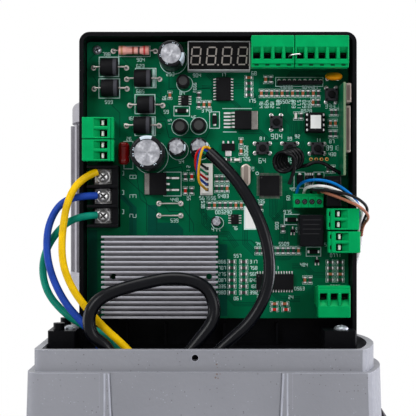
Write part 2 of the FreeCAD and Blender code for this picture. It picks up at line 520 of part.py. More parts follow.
def control_tray():
    """An open-fronted tray: back, two sides and a rounded top; its lower edge stands on the foot."""
    y1 = TRAY_BACK + TRAY_BACK_T
    shell = rounded(box(TRAY_X0, TRAY_X1, TRAY_RIM, y1, FOOT_Z1 - 20, TRAY_TOP), TRAY_CORNER, V(0, 1, 0))
    inner = rounded(box(TRAY_X0 + TRAY_WALL, TRAY_X1 - TRAY_WALL, TRAY_RIM - 1, TRAY_BACK, FOOT_Z1 - 40,
                        TRAY_TOP - TRAY_WALL), TRAY_CORNER - TRAY_WALL, V(0, 1, 0))
    body = shell.cut([inner, box(-200, 200, -200, 200, 0, FOOT_Z1)])
    extras, cuts = [], []
    for u, v in BOARD_SCREWS:
        at, back = place(u, v, -BOARD_T), V(BOARD_X0 + u, TRAY_BACK + 1, BOARD_Z0 + v)
        extras.append(rod(at, back, 3.5))
        cuts.append(rod(at, V(at.x, TRAY_BACK, at.z), 1.25))
    for x in (-40.0, -21.0, 8.0, 34.0):
        extras.append(box(x - 0.6, x + 0.6, TRAY_BACK - 4, TRAY_BACK + 1, FOOT_Z1, BOARD_Z0 - 3))
    return body.fuse(extras).cut(cuts)


def tray_foot():
    x0, x1 = RIM_LEFT + 3.8, RIM_RIGHT - 9.2
    plate = box(x0, x1, -73.0, -34.0, FOOT_Z0, FOOT_Z1)
    left = box(x0, TRAY_X0 - 0.2, -74.0, -37.0, FOOT_Z0, BOSS_TOP)
    right = box(x1 - 15.5, x1 - 0.5, -74.0, TRAY_RIM - 0.6, FOOT_Z0, BOSS_TOP)
    left, right = [rounded(b, 1.0, V(0, 0, 1)) for b in (left, right)]
    posts = [upright(-70.0, y, BOSS_TOP - 1, BOSS_TOP + 3.2, 2.6) for y in (-68.0, -43.0)]
    body = joined([plate, left, right] + posts)
    return body.cut([upright(x, y, FOOT_Z0 - 1, BOSS_TOP + 1, 2.2) for x, y in TRAY_SCREWS])


def pan_screw(head_at, out, head_r, head_h, shank_r, length):
    """A pan-head screw with a cross recess; out points away from the surface."""
    head = rod(head_at, head_at + out * head_h, head_r)
    top = [e for e in head.Edges if (e.BoundBox.Center - head_at).dot(out) > head_h * 0.9]
    head = head.makeFillet(head_h * 0.6, top)
    side = V(1, 0, 0)
    across = out.cross(side)
    recess = []
    for a, b in ((side, across), (across, side)):
        wire = [head_at + out * (head_h * 0.45) + a * (s * head_r * 0.55) + b * (t * head_r * 0.13)
                for s, t in ((-1, -1), (1, -1), (1, 1), (-1, 1), (-1, -1))]
        recess.append(Part.Face(Part.makePolygon(wire)).extrude(out * head_h))
    return head.cut(recess).fuse(rod(head_at, head_at - out * length, shank_r))


def tray_screws():
    screws = [pan_screw(V(x, y, BOSS_TOP), V(0, 0, 1), 3.6, 2.6, 1.8, 24) for x, y in TRAY_SCREWS]
    screws += [pan_screw(place(u, v, 0), V(0, -1, 0), 2.2, 1.6, 1.25, 7) for u, v in BOARD_SCREWS]
    return screws


# Board: u runs right and v up from its lower left corner, h stands out of its face

def place(u, v, h):
    return V(BOARD_X0 + u, BOARD_FACE - h, BOARD_Z0 + v)


def block(u0, u1, v0, v1, h0, h1):
    return box(BOARD_X0 + u0, BOARD_X0 + u1, BOARD_FACE - h1, BOARD_FACE - h0, BOARD_Z0 + v0, BOARD_Z0 + v1)


def can(u, v, r, h0, h1):
    return rod(place(u, v, h0), place(u, v, h1), r)


def main_board():
    board = rounded(block(0, BOARD_W, 0, BOARD_H, -BOARD_T, 0), 1.5, V(0, 1, 0))
    return board.cut([can(u, v, 1.4, -BOARD_T - 1, 1) for u, v in BOARD_SCREWS])


# Plugs: ways, edge they face, first corner along the edge, distance of the outer face from the board's origin
PLUGS = [(4, "top", 79.4, 134.9), (5, "top", 100.0, 134.9), (2, "left", 86.4, -0.25),
         (2, "left", 75.9, -0.25), (2, "right", 43.4, 130.1), (2, "right", 32.6, 130.6),
         (3, "bottom", 110.8, 2.1)]
# The small four-way screw terminal: pitch, left end, wall beyond the first and last way, lower and upper side
SMALL_PITCH, SMALL_U0, SMALL_WALL, SMALL_V0, SMALL_V1 = 3.5, 99.9, 0.25, 53.8, 60.6


def plug_block(edge, along0, along1, outer, across0, across1, h0, h1):
    """A block of a plug: along the edge, and across from the outer face towards the middle of the board."""
    if edge == "top":
        return block(along0, along1, outer - across1, outer - across0, h0, h1)
    if edge == "bottom":
        return block(along0, along1, outer + across0, outer + across1, h0, h1)
    if edge == "left":
        return block(outer + across0, outer + across1, along0, along1, h0, h1)
    return block(outer - across1, outer - across0, along0, along1, h0, h1)


def terminal_plugs():
    plugs = []
    for ways, edge, start, outer in PLUGS:
        end = start + ways * PLUG_PITCH - 0.1
        body = plug_block(edge, start, end, outer, 0, PLUG_DEEP, PLUG_WIDE_H, PLUG_TOP)
        body = body.fuse(plug_block(edge, start, end, outer, 4.2, PLUG_DEEP - 0.6, HEADER_H, PLUG_WIDE_H))
        cuts = []
        for i in range(ways):
            c = start + (i + 0.5) * PLUG_PITCH - 0.05
            cuts.append(plug_block(edge, c - 1.6, c + 1.6, outer, 9.0, 12.3, PLUG_TOP - 6, PLUG_TOP + 1))
            cuts.append(plug_block(edge, c - 1.5, c + 1.5, outer, -1, 3.5, PLUG_TOP - 5.2, PLUG_TOP - 2.2))
        plugs.append(body.cut(cuts).removeSplitter())
    return plugs


def plug_headers():
    """The headers under the plugs, and the small four-way screw terminal."""
    headers = []
    for ways, edge, start, outer in PLUGS:
        end = start + ways * PLUG_PITCH - 0.1
        headers.append(plug_block(edge, start, end, outer, 5.0, PLUG_DEEP - 1.4, 0, HEADER_H))
    end = SMALL_U0 + 4 * SMALL_PITCH + 2 * SMALL_WALL
    small = block(SMALL_U0, end, SMALL_V0, SMALL_V1, 0, 9.0)
    cuts = []
    for i in range(4):
        u = small_way(i)
        cuts += [can(u, SMALL_V0 + 3.2, 1.3, 6.5, 10),
                 block(u - 1.1, u + 1.1, SMALL_V1 - 2.5, SMALL_V1 + 1, 2.2, 5.0)]
    return headers + [small.cut(cuts)]


def small_way(i):
    """The middle of one way of the small terminal."""
    return SMALL_U0 + SMALL_WALL + (i + 0.5) * SMALL_PITCH


def barrier_block():
    u0, u1, v0, v1 = 1.5, 16.3, 44.4, 74.1
    pitch, wall = (v1 - v0 - 1.5) / 3, 1.5
    parts = [block(u0 + 2.5, u1, v0, v1, 0, 9.0), block(u1 - 3.2, u1, v0, v1, 0, 13.0)]
    parts += [block(u0, u1, v0 + i * pitch, v0 + i * pitch + wall, 0, 15.0) for i in range(4)]
    return joined(parts)


def barrier_clamps():
    parts = []
    for v in (68.6, 59.25, 49.9):
        plate = block(4.6, 12.6, v - 3.5, v + 3.5, 9.0, 10.4)
        barrel = block(4.6, 6.4, v - 2.2, v + 2.2, 10.4, 14.4)
        head = pan_screw(place(9.2, v, 10.4), V(0, -1, 0), 2.7, 2.4, 1.0, 0.6)
        parts += [joined([plate, barrel]), head.cut(block(0, 20, v - 5, v + 5, 0, 10.4))]
    return parts


def display_module():
    body = block(49.2, 79.3, 119.8, 134.0, 0.6, 8.0)
    feet = [block(u - 1, u + 1, v - 0.8, v + 0.8, 0, 0.6) for u in (52, 76.5) for v in (121.5, 132.3)]
    return joined([body] + feet)


def heat_sink():
    """A plate with fins that run across, standing on four pads, with two screw holes."""
    u0, u1, v0, fins, pitch, thick = 8.1, 63.7, 1.0, 17, 2.4, 1.0
    v1 = v0 + (fins - 1) * pitch + thick
    parts = [block(u0 + 1, u1 - 1, v0, v1, 4.0, 6.5)]
    parts += [block(u0, u1, v0 + i * pitch, v0 + i * pitch + thick, 6.0, 12.5) for i in range(fins)]
    parts += [block(u - 3, u + 3, v - 3, v + 3, 0, 4.5) for u in (13.5, 59.5) for v in (v0 + 5, v1 - 5)]
    return joined(parts).cut([can(u, (v0 + v1) / 2, 1.4, 3, 20) for u in (13.5, 59.5)])


def electrolytic_capacitors():
    cans = []
    for u, v, r, h in [(30.6, 79.5, 8.0, 25.0), (44.0, 82.8, 4.4, 14.0), (54.7, 82.8, 4.4, 14.0),
                       (41.5, 126.4, 6.25, 20.0), (63.1, 47.2, 2.5, 7.0)]:
        body = can(u, v, r, 0, h)
        top = [e for e in body.Edges if e.BoundBox.YMax < BOARD_FACE - h + 0.1]
        body = body.makeFillet(min(0.8, r * 0.15), top)
        groove = can(u, v, r + 1, 1.6, 2.6).cut(can(u, v, r - 0.35, 1, 3))
        cans.append(body.cut(groove))
    return cans


def drum_inductors():
    drums = []
    for u, v, r, h in [(45.4, 93.2, 3.5, 8.0), (54.5, 93.7, 3.5, 8.0), (47.0, 114.7, 3.2, 10.0)]:
        drums.append(can(u, v, r, 0, h).cut(can(u, v, r * 0.45, h - 1.0, h + 1)))
    return drums


# Axial parts: middle u and v, body length and radius, height of the axis, lead span; wire links: u0, u1, v
DIODES = [(11.2, 122.0), (11.5, 111.8), (27.4, 116.5), (28.9, 103.7), (27.2, 93.8)]
DIODE_LONG, DIODE_R, DIODE_H, DIODE_SPAN = 8.4, 4.2, 4.4, 16.0
RESISTOR, RESISTOR_LONG, RESISTOR_R, RESISTOR_H, RESISTOR_SPAN = (23.1, 130.2), 15.0, 2.2, 2.8, 20.5
LINKS = [(35.1, 45.7, 55.9), (35.1, 45.7, 50.0)]


def power_diodes():
    bodies = []
    for u, v in DIODES:
        body = rod(place(u - DIODE_LONG / 2, v, DIODE_H), place(u + DIODE_LONG / 2, v, DIODE_H), DIODE_R)
        bodies.append(body.makeFillet(0.5, [e for e in body.Edges if e.BoundBox.XLength < 0.01]))
    return bodies


def power_resistor():
    """A body that swells at both ends."""
    u, v = RESISTOR
    half = RESISTOR_LONG / 2
    a = lambda d: place(u + d, v, RESISTOR_H)
    parts = [rod(a(-half + 1), a(half - 1), RESISTOR_R - 0.35)]
    for s in (-1, 1):
        parts.append(rod(a(s * half), a(s * (half - 3.6)), RESISTOR_R))
    body = joined(parts)
    ends = [e for e in body.Edges if abs(abs(e.BoundBox.Center.x - a(0).x) - half) < 0.01]
    return body.makeFillet(0.6, ends)


def lead_pair(u, v, half_body, half_span, height, r):
    """The two bent leads of an axial part, from its ends down to the board."""
    leads = []
    for s in (-1, 1):
        out = rod(place(u + s * half_body, v, height), place(u + s * (half_span + r), v, height), r)
        down = rod(place(u + s * half_span, v, 0), place(u + s * half_span, v, height), 0.9 * r)
        leads.append(joined([out, down]))
    return leads


def wire_leads():
    """Bare metal on the board: leads of the axial parts, wire links, tabs of the power transistors."""
    parts = []
    for u, v in DIODES:
        parts += lead_pair(u, v, DIODE_LONG / 2, DIODE_SPAN / 2, DIODE_H, 0.6)
    parts += lead_pair(RESISTOR[0], RESISTOR[1], RESISTOR_LONG / 2, RESISTOR_SPAN / 2, RESISTOR_H, 0.4)
    for u0, u1, v in LINKS:
        posts = [rod(place(u, v, 0), place(u, v, 3), 0.45) for u in (u0, u1)]
        parts.append(joined(posts + [rod(place(u0 - 0.5, v, 3), place(u1 + 0.5, v, 3), 0.5)]))
    parts += [block(28.0, 30.6, 60.2, 70.6, 0, 1.3), block(80.1, 83.3, 91.9, 101.0, 0, 1.3),
              block(67.4, 70.4, 79.0, 81.6, 0, 1.0)]
    parts += [block(38.8, 44.9, v - 0.5, v + 0.5, 0, 1.0) for v in (62.5, 68.3)]
    parts += [block(66.7, 72.0, 93.1 + 1.7 * i - 0.4, 93.1 + 1.7 * i + 0.4, 0, 1.0) for i in range(5)]
    return parts


def coated_capacitors():
    """The boxed film capacitor and the disc capacitor, each on short leads."""
    film = rounded(block(15.9, 21.2, 74.6, 85.3, 1.0, 10.5), 1.2, V(0, 1, 0))
    film = film.fuse([can(18.5, v, 0.35, 0, 1.5) for v in (77.5, 82.5)])
    disc = rod(place(119.7, 115.7, 6.0), place(119.7, 118.5, 6.6), 4.2)
    disc = disc.makeFillet(0.9, [e for e in disc.Edges if e.BoundBox.ZLength < 2.2])
    disc = disc.fuse([rod(place(u, 117.1, 0), place(u, 117.1, 4), 0.35) for u in (117.2, 122.2)])
    return [film, disc]


# Chips: u0, u1, v0, v1, height
CHIPS = [(62.9, 70.1, 105.9, 117.2, 2.4), (45.9, 49.6, 103.8, 108.6, 1.6), (70.2, 74.0, 45.8, 50.6, 1.6),
         (82.5, 100.6, 13.9, 21.6, 2.4), (84.0, 93.9, 59.6, 69.5, 1.5), (65.6, 72.1, 81.6, 85.1, 1.7),
         (72.0, 80.1, 91.9, 101.0, 4.4), (30.6, 38.8, 60.0, 70.8, 4.4), (102.2, 105.2, 65.4, 69.8, 2.2),
         (106.2, 110.4, 66.0, 69.6, 1.6), (111.6, 114.6, 65.4, 69.8, 2.2), (92.7, 114.4, 113.6, 115.4, 6.0),
         (44.0, 48.4, 100.0, 102.2, 2.0), (61.0, 63.4, 94.6, 98.8, 2.0), (97.6, 102.0, 46.9, 49.1, 2.0),
         (108.4, 112.4, 31.4, 33.4, 1.8), (99.2, 101.4, 41.8, 43.4, 1.1), (111.0, 113.2, 27.0, 28.6, 1.1)]


def chip_packages():
    chips = [block(*c[:4], 0.0, c[4]) for c in CHIPS]
    socket = block(106.1, 115.6, 90.2, 100.0, 0, 4.0).cut(block(109.3, 112.4, 92.5, 97.7, -1, 1.5))
    chips += [socket, block(107.4, 114.3, 90.5, 99.7, 4.0, 7.2)]
    return chips


# Rows of small chip parts: first u, v, step in u, step in v, count, lying (True: long side along u)
ROWS = [(85.0, 109.6, 2.53, 0, 12, False), (87.1, 116.4, 2.55, 0, 2, False), (78.9, 117.3, 0, -2.83, 4, True),
        (110.2, 105.2, 2.5, 0, 2, False), (101.8, 98.6, 2.6, 0, 2, False), (119.3, 100.3, 2.1, 0, 2, False),
        (118.7, 95.0, 2.4, 0, 2, False), (118.8, 89.9, 2.4, 0, 2, False), (40.4, 108.7, 0, 0, 1, False),
        (54.5, 108.7, 0, -4.6, 2, False), (57.0, 104.1, 2.6, 0, 2, False), (75.1, 86.0, 0, -4.6, 2, False),
        (69.0, 77.2, 4.2, 0, 2, True), (63.3, 67.9, 2.5, 0, 3, False), (63.3, 63.2, 2.5, 0, 3, False),
        (59.6, 55.0, 2.6, 0, 7, False), (48.0, 69.0, 3.1, 0, 2, False), (48.0, 62.1, 3.1, 0, 2, False),
        (82.9, 32.9, 2.53, 0, 9, False), (70.6, 27.5, 0, -3.0, 6, True), (76.4, 27.5, 0, -3.0, 6, True),
        (118.6, 27.3, 0, -2.9, 4, True), (123.4, 27.3, 0, -2.9, 4, True), (106.2, 18.6, 2.6, 0, 2, False),
        (91.4, 7.0, 5.0, 0, 2, True), (91.4, 4.2, 5.6, 0, 2, True), (95.6, 43.6, 0, 0, 1, False),
        (84.8, 54.1, 0, 0, 1, False), (117.5, 72.6, 2.6, 0, 2, False)]


def chip_passives():
    parts = []
    for u0, v0, du, dv, count, lying in ROWS:
        a, b = (CHIP_L / 2, CHIP_W / 2) if lying else (CHIP_W / 2, CHIP_L / 2)
        for i in range(count):
            u, v = u0 + du * i, v0 + dv * i
            parts.append(block(u - a, u + a, v - b, v + b, 0, CHIP_H))
    return parts


BUTTONS = {"button_learn": (119.0, 108.8), "button_set": (92.2, 95.4), "button_open": (85.5, 82.8),
           "button_close": (98.8, 82.8), "button_stop": (112.2, 82.6)}


def switch_bodies():
    bodies = []
    for u, v in BUTTONS.values():
        body = block(u - 3, u + 3, v - 3, v + 3, 0, SWITCH_H)
        bodies.append(body.cut(can(u, v, BUTTON_R + 0.08, 1.2, SWITCH_H + 1)))
    return bodies


def button(u, v):
    stem = can(u, v, BUTTON_R, 1.2 + BUTTON_PRESS + 0.2, BUTTON_TOP)
    return stem.makeFillet(0.3, [e for e in stem.Edges if e.BoundBox.YMax < BOARD_FACE - BUTTON_TOP + 0.1])


def radio_board():
    return block(122.6, 123.8, 69.2, 112.9, 0, 20.0)


def metal_cans():
    """The crystal on the board, and the two cans on the right side of the radio board."""
    crystal = rounded(block(75.1, 79.7, 64.3, 75.1, 0.0, 3.6), 2.2, V(0, 1, 0))
    rim = rounded(block(74.7, 80.1, 63.9, 75.5, 0.0, 0.6), 2.4, V(0, 1, 0))
    cans = [block(123.8, 126.4, 103.5, 112.5, 8.0, 19.0), block(123.8, 126.2, 80.0, 102.0, 6.0, 18.0)]
    return [joined([crystal, rim])] + [rounded(c, 0.8, V(1, 0, 0)) for c in cans]


def relays():
    """Two boxes, each standing on a low foot along its lower side."""
    whole = []
    for u0, u1, v0, v1 in [(115.4, 122.2, 54.2, 69.0), (102.5, 114.0, 35.4, 50.5)]:
        body = rounded(block(u0, u1, v0, v1, 0.3, 15.0), 0.8, V(0, 1, 0))
        whole.append(body.fuse(block(u0 + 1, u1 - 1, v0 + 1, v0 + 3, 0, 0.5)))
    return whole


SIGNAL_U, SIGNAL_V, SIGNAL_PITCH, SIGNAL_H = 58.3, 67.6, 2.54, 8.0


def signal_header():
    half = 2 * SIGNAL_PITCH + 2.6
    base = block(SIGNAL_U - 3.0, SIGNAL_U + 3.0, SIGNAL_V - half, SIGNAL_V + half, 0, 4.0)
    plug = block(SIGNAL_U - 2.4, SIGNAL_U + 2.6, SIGNAL_V - half + 0.8, SIGNAL_V + half - 0.8, 4.0, SIGNAL_H)
    return joined([base, plug])


# Cords: straight runs joined by arcs

def cord(name, points, diameter):
    """A round cord along the points; each corner is an arc that takes 0.45 of the shorter run beside it."""
    points = [V(*p) for p in points]
    at, edges, radii = points[0], [], []
    for a, b, c in zip(points, points[1:], points[2:]):
        back, ahead = (a - b), (c - b)
        shorter = min(back.Length, ahead.Length)
        back, ahead = back * (1 / back.Length), ahead * (1 / ahead.Length)
        turn = math.pi - math.acos(max(-1.0, min(1.0, back.dot(ahead))))
        trim = 0.45 * shorter
        radius = trim / math.tan(turn / 2)
        start, end = b + back * trim, b + ahead * trim
        middle = (back + ahead) * (1 / (back + ahead).Length)
        top = b + middle * (radius / math.cos(turn / 2) - radius)
        edges += [Part.LineSegment(at, start).toShape(), Part.Arc(start, top, end).toShape()]
        at = end
        radii.append(radius)
    edges.append(Part.LineSegment(at, points[-1]).toShape())
    path = Part.Wire(edges)
    ring = Part.Wire(Part.makeCircle(diameter / 2, points[0], points[1] - points[0]))
    tube = path.makePipeShell([ring], True, False)
    section = math.pi * diameter ** 2 / 4
    print("%-16s length %6.1f least radius %5.1f (%4.1f diameters) volume ratio %.3f"
          % (name, path.Length, min(radii), min(radii) / diameter, tube.Volume / (section * path.Length)))
    return tube


MOTOR_WIRE_D, POWER_D, SIGNAL_D, LEAD_D, SENSOR_D, SHEATH_D, ANTENNA_D = 3.5, 6.0, 5.6, 1.2, 1.4, 3.6, 1.8
MOTOR_WIRE_U = [(-53.0, -60.4, 220.6), (-60.0, -64.4, 217.6), (-66.0, -68.4, 207.5), (-68.2, -70.8, 192.0),
                (-68.0, -72.6, 178.0), (-63.6, -74.6, 167.0), (-57.4, -76.6, 158.5), (-48.6, -79.0, 149.0),
                (-38.4, -81.0, 140.5), (-31.4, -81.5, 132.5), (-30.0, -81.5, 122.0)]
MOTOR_WIRE_V = [(-53.0, -60.4, 209.3), (-61.0, -63.6, 209.2), (-70.0, -63.6, 206.0), (-75.4, -65.2, 196.0),
                (-76.2, -67.2, 184.0), (-73.6, -69.0, 172.0), (-67.0, -72.0, 159.5), (-59.0, -74.6, 151.0),
                (-51.6, -76.4, 143.0), (-47.6, -76.2, 133.0), (-47.0, -76.0, 122.0)]
MOTOR_WIRE_W = [(-53.0, -60.4, 200.0), (-61.0, -63.6, 199.6), (-69.6, -62.0, 194.8), (-77.0, -60.6, 184.6),
                (-79.2, -61.0, 174.0), (-76.2, -64.0, 163.2), (-68.6, -67.2, 154.8), (-59.6, -69.6, 148.8),
                (-48.4, -71.2, 144.6), (-40.2, -76.4, 137.5), (-38.2, -78.0, 122.0)]
POWER_LOOP = [(-43.0, -84.5, 122.0), (-43.2, -84.6, 134.0), (-46.4, -84.8, 141.0), (-53.6, -85.2, 145.5),
              (-54.4, -85.2, 156.5), (-47.5, -83.6, 164.0), (-32.0, -81.0, 168.6), (-14.0, -79.6, 172.0),
              (0.5, -79.6, 167.6), (4.2, -81.4, 153.5), (-5.0, -83.4, 142.0), (-12.6, -84.0, 133.0),
              (-14.0, -84.0, 122.0)]
SIGNAL_CABLE = [(0.6, -68.4, 229.6), (9.4, -72.4, 221.4), (18.6, -75.6, 208.6), (25.4, -77.8, 194.6),
                (28.6, -79.6, 180.0), (27.6, -80.4, 165.6), (20.0, -81.4, 151.6), (10.0, -83.0, 143.0),
                (1.0, -84.0, 134.6), (-3.0, -84.0, 122.0)]
SHEATH = [(74.2, -46.5, 190.5), (74.6, -40.0, 184.0), (73.6, -33.5, 177.0), (70.5, -31.0, 168.0),
          (67.5, -29.0, 156.0), (65.5, -27.0, 145.0), (64.4, -25.4, 135.0), (64.0, -25.0, 122.0)]
# Each signal lead, from the header's top slot down: its place round the sheath's end, its reach to the left
# and height above the board where it turns down, and the same halfway down
LEAD_ROUTES = [(90, -9.0, 16.0, -5.5, 11.7), (162, -5.4, 18.5, -5.8, 14.5), (18, -6.3, 22.1, -5.6, 17.8),
               (234, -4.5, 23.6, -5.1, 20.3), (306, -3.9, 28.3, -4.6, 22.1)]
# Each sensor lead: its place round the sheath's top, then its route over the relay and round the tray's edge
# as board u, v and height above the board
SENSOR_ROUTES = [(225, [(103.6, 66.0, 10.4), (109.8, 67.4, 16.4), (118.0, 66.0, 17.0), (125.6, 61.2, 16.6),
                        (131.4, 55.0, 13.0)]),
                 (135, [(106.8, 63.8, 11.0), (112.6, 64.4, 17.6), (119.8, 62.4, 18.8), (126.8, 58.0, 18.4),
                        (132.8, 52.4, 14.0)]),
                 (315, [(109.6, 62.0, 12.0), (114.4, 62.2, 19.8), (121.6, 61.0, 22.6), (129.2, 58.4, 22.0),
                        (135.4, 53.4, 16.4)]),
                 (45, [(112.8, 61.6, 13.0), (116.8, 60.0, 20.4), (124.0, 57.2, 22.0), (130.6, 54.2, 21.6),
                       (136.0, 49.4, 15.0)])]


def ring_place(centre, axis, radius, angle):
    """A point beside an axis, at an angle from the X direction."""
    across = X_AXIS - axis * axis.dot(X_AXIS)
    across = across * (1 / across.Length)
    a = math.radians(angle)
    return centre + across * (radius * math.cos(a)) + axis.cross(across) * (radius * math.sin(a))


def signal_leads():
    """Five thin leads that leave the sheath, bow to the left and go down into the header."""
    end, inner = V(*SIGNAL_CABLE[0]), V(*SIGNAL_CABLE[1])
    axis = (end - inner) * (1 / (end - inner).Length)
    leads = []
    for i, (angle, bow, h_turn, reach, h_down) in enumerate(LEAD_ROUTES):
        start = ring_place(end, axis, 1.7, angle)
        slot = place(SIGNAL_U + 0.2, SIGNAL_V + (2 - i) * SIGNAL_PITCH, SIGNAL_H)
        points = [start, start + axis * 3.0, V(end.x + bow, BOARD_FACE - h_turn, end.z + 0.6),
                  V(slot.x + reach, BOARD_FACE - h_down, slot.z + 4.0),
                  V(slot.x - 0.9, BOARD_FACE - 12.4, slot.z + 0.3), V(slot.x, slot.y + 1.0, slot.z)]
        leads.append(cord("signal lead %d" % i, points, LEAD_D))
    return leads


def sensor_leads():
    """Four leads from the small terminal over the relay and round the tray's edge into one sheath."""
    top, below = V(*SHEATH[0]), V(*SHEATH[1])
    axis = (below - top) * (1 / (below - top).Length)
    tubes = []
    for i, (angle, route) in enumerate(SENSOR_ROUTES):
        start = place(small_way(i), SMALL_V1 - 1.2, 3.6)
        end = ring_place(top, axis, 1.1, angle)
        points = [start, start + V(0, -1.6, 3.4)] + [place(*p) for p in route] + [end - axis * 7, end]
        tubes.append(cord("sensor lead %d" % i, points, SENSOR_D))
    tubes.append(cord("sensor sheath", SHEATH, SHEATH_D))
    return tubes


def antenna():
    """The coiled antenna as the hollow shape of its turns, with a lead to the radio board and a free tail."""
    a, b, outer = place(93.8, 75.1, 20.0), place(101.3, 77.7, 8.0), 5.7
    way = (b - a) * (1 / (b - a).Length)
    coil = rod(a, b, outer).cut(rod(a - way, b + way, outer - ANTENNA_D))
    route = [(101.6, 72.6, 9.4), (106.0, 73.8, 10.0), (110.2, 76.0, 10.2), (114.6, 75.2, 10.0),
             (118.6, 72.4, 9.6), (122.6, 70.4, 9.4)]
    lead = cord("antenna lead", [place(*p) for p in route], ANTENNA_D)
    tail = rod(place(97.8, 72.4, 19.2), place(95.6, 65.6, 17.6), ANTENNA_D / 2)
    return joined([coil, lead, tail])


def main():
    os.makedirs("parts", exist_ok=True)
    save("gear_housing", *gear_housing())
    save("gearbox_deck", *gearbox_deck())
    save("gear_cover", gear_cover())
    save("housing_screws", *housing_screws())
    save("output_seal", output_seal())
    save("ball_bearings", *ball_bearings())
    save("cable_grommets", *cable_grommets())
    save("motor_sleeve", motor_sleeve())
    save("stator_core", stator_core())
    save("stator_winding", *stator_winding())
    save("motor_cap", motor_cap())
    save("motor_bell", motor_bell())
    save("rotor_core", rotor_core())
    save("worm_shaft", worm_shaft())
    save("worm_wheel", worm_wheel())
    save("output_shaft", output_shaft())
    save("drive_pinion", drive_pinion())
    save("pinion_fastening", *pinion_fastening())
    save("release_escutcheon", release_escutcheon())
    save("release_lever", release_lever())
    save("lock_barrel", lock_barrel())
    save("pull_carriage", pull_carriage())
    save("pull_rod", pull_rod())
    save("clutch_sleeve", clutch_sleeve())
    save("control_tray", control_tray())
    save("tray_foot", tray_foot())
    save("tray_screws", *tray_screws())
    save("main_board", main_board())
    save("heat_sink", heat_sink())
    save("plug_headers", *plug_headers())
    save("terminal_plugs", *terminal_plugs())
    save("barrier_block", barrier_block())
    save("barrier_clamps", *barrier_clamps())
    save("display_module", display_module())
    save("electrolytic_capacitors", *electrolytic_capacitors())
    save("drum_inductors", *drum_inductors())
    save("power_diodes", *power_diodes())
    save("power_resistor", power_resistor())
    save("coated_capacitors", *coated_capacitors())
    save("chip_packages", *chip_packages())
    save("chip_passives", *chip_passives())
    save("wire_leads", *wire_leads())
    save("switch_bodies", *switch_bodies())
    for name, (u, v) in BUTTONS.items():
        save(name, button(u, v))
    save("radio_board", radio_board())
    save("metal_cans", *metal_cans())
    save("relays", *relays())
    save("signal_header", signal_header())
    save("motor_wire_u", cord("motor_wire_u", MOTOR_WIRE_U, MOTOR_WIRE_D))
    save("motor_wire_v", cord("motor_wire_v", MOTOR_WIRE_V, MOTOR_WIRE_D))
    save("motor_wire_w", cord("motor_wire_w", MOTOR_WIRE_W, MOTOR_WIRE_D))
    save("power_cable_loop", cord("power_cable_loop", POWER_LOOP, POWER_D))
    save("signal_cable", cord("signal_cable", SIGNAL_CABLE, SIGNAL_D))
    save("signal_leads", *signal_leads())
    save("sensor_leads", *sensor_leads())
    save("antenna", antenna())


main()
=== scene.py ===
"""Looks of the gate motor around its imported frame: control board, wiring, housing paint, light and camera.

Lengths are millimetres in the frame's axes (X right, Y back, Z up); lights and finishes are in metres.
"""
import json
import math

import bpy
import numpy as np
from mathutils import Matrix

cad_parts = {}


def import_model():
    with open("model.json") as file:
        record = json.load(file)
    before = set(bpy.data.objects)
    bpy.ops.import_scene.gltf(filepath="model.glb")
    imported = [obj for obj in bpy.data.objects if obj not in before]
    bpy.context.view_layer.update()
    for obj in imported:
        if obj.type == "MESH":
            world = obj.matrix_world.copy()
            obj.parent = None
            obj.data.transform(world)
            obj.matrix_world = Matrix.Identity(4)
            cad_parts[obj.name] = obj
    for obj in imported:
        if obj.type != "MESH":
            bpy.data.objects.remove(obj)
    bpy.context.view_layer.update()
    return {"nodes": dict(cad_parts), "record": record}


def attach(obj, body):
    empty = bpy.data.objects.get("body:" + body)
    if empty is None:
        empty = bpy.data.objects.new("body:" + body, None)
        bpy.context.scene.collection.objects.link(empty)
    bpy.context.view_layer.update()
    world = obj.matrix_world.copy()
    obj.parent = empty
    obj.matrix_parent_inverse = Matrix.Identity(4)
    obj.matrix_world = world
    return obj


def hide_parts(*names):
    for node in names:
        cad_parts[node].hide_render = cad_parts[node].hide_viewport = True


MM = 0.001

# The board's own frame: u right and v up from its lower left corner, h out of its face
BOARD_X0, BOARD_FACE, BOARD_Z0 = -59.0, -48.0, 149.7

# Camera: how far in front of the frame's origin, how high, focal length and sensor width
VIEW_DISTANCE, VIEW_HEIGHT, FOCAL_LENGTH, SENSOR = 588.0, 203.4, 95.8, 36.0


def srgb(red, green, blue):
    """A colour given as 0 to 255 in sRGB, as linear RGBA."""
    values = [c / 255 for c in (red, green, blue)]
    return [c / 12.92 if c <= 0.04045 else ((c + 0.055) / 1.055) ** 2.4 for c in values] + [1.0]


# Surfaces

# Point attribute with the way round a turned surface
AROUND = "way_round"
# Edges that turn by more than this look sharp
SHARP_ANGLE = math.radians(38)


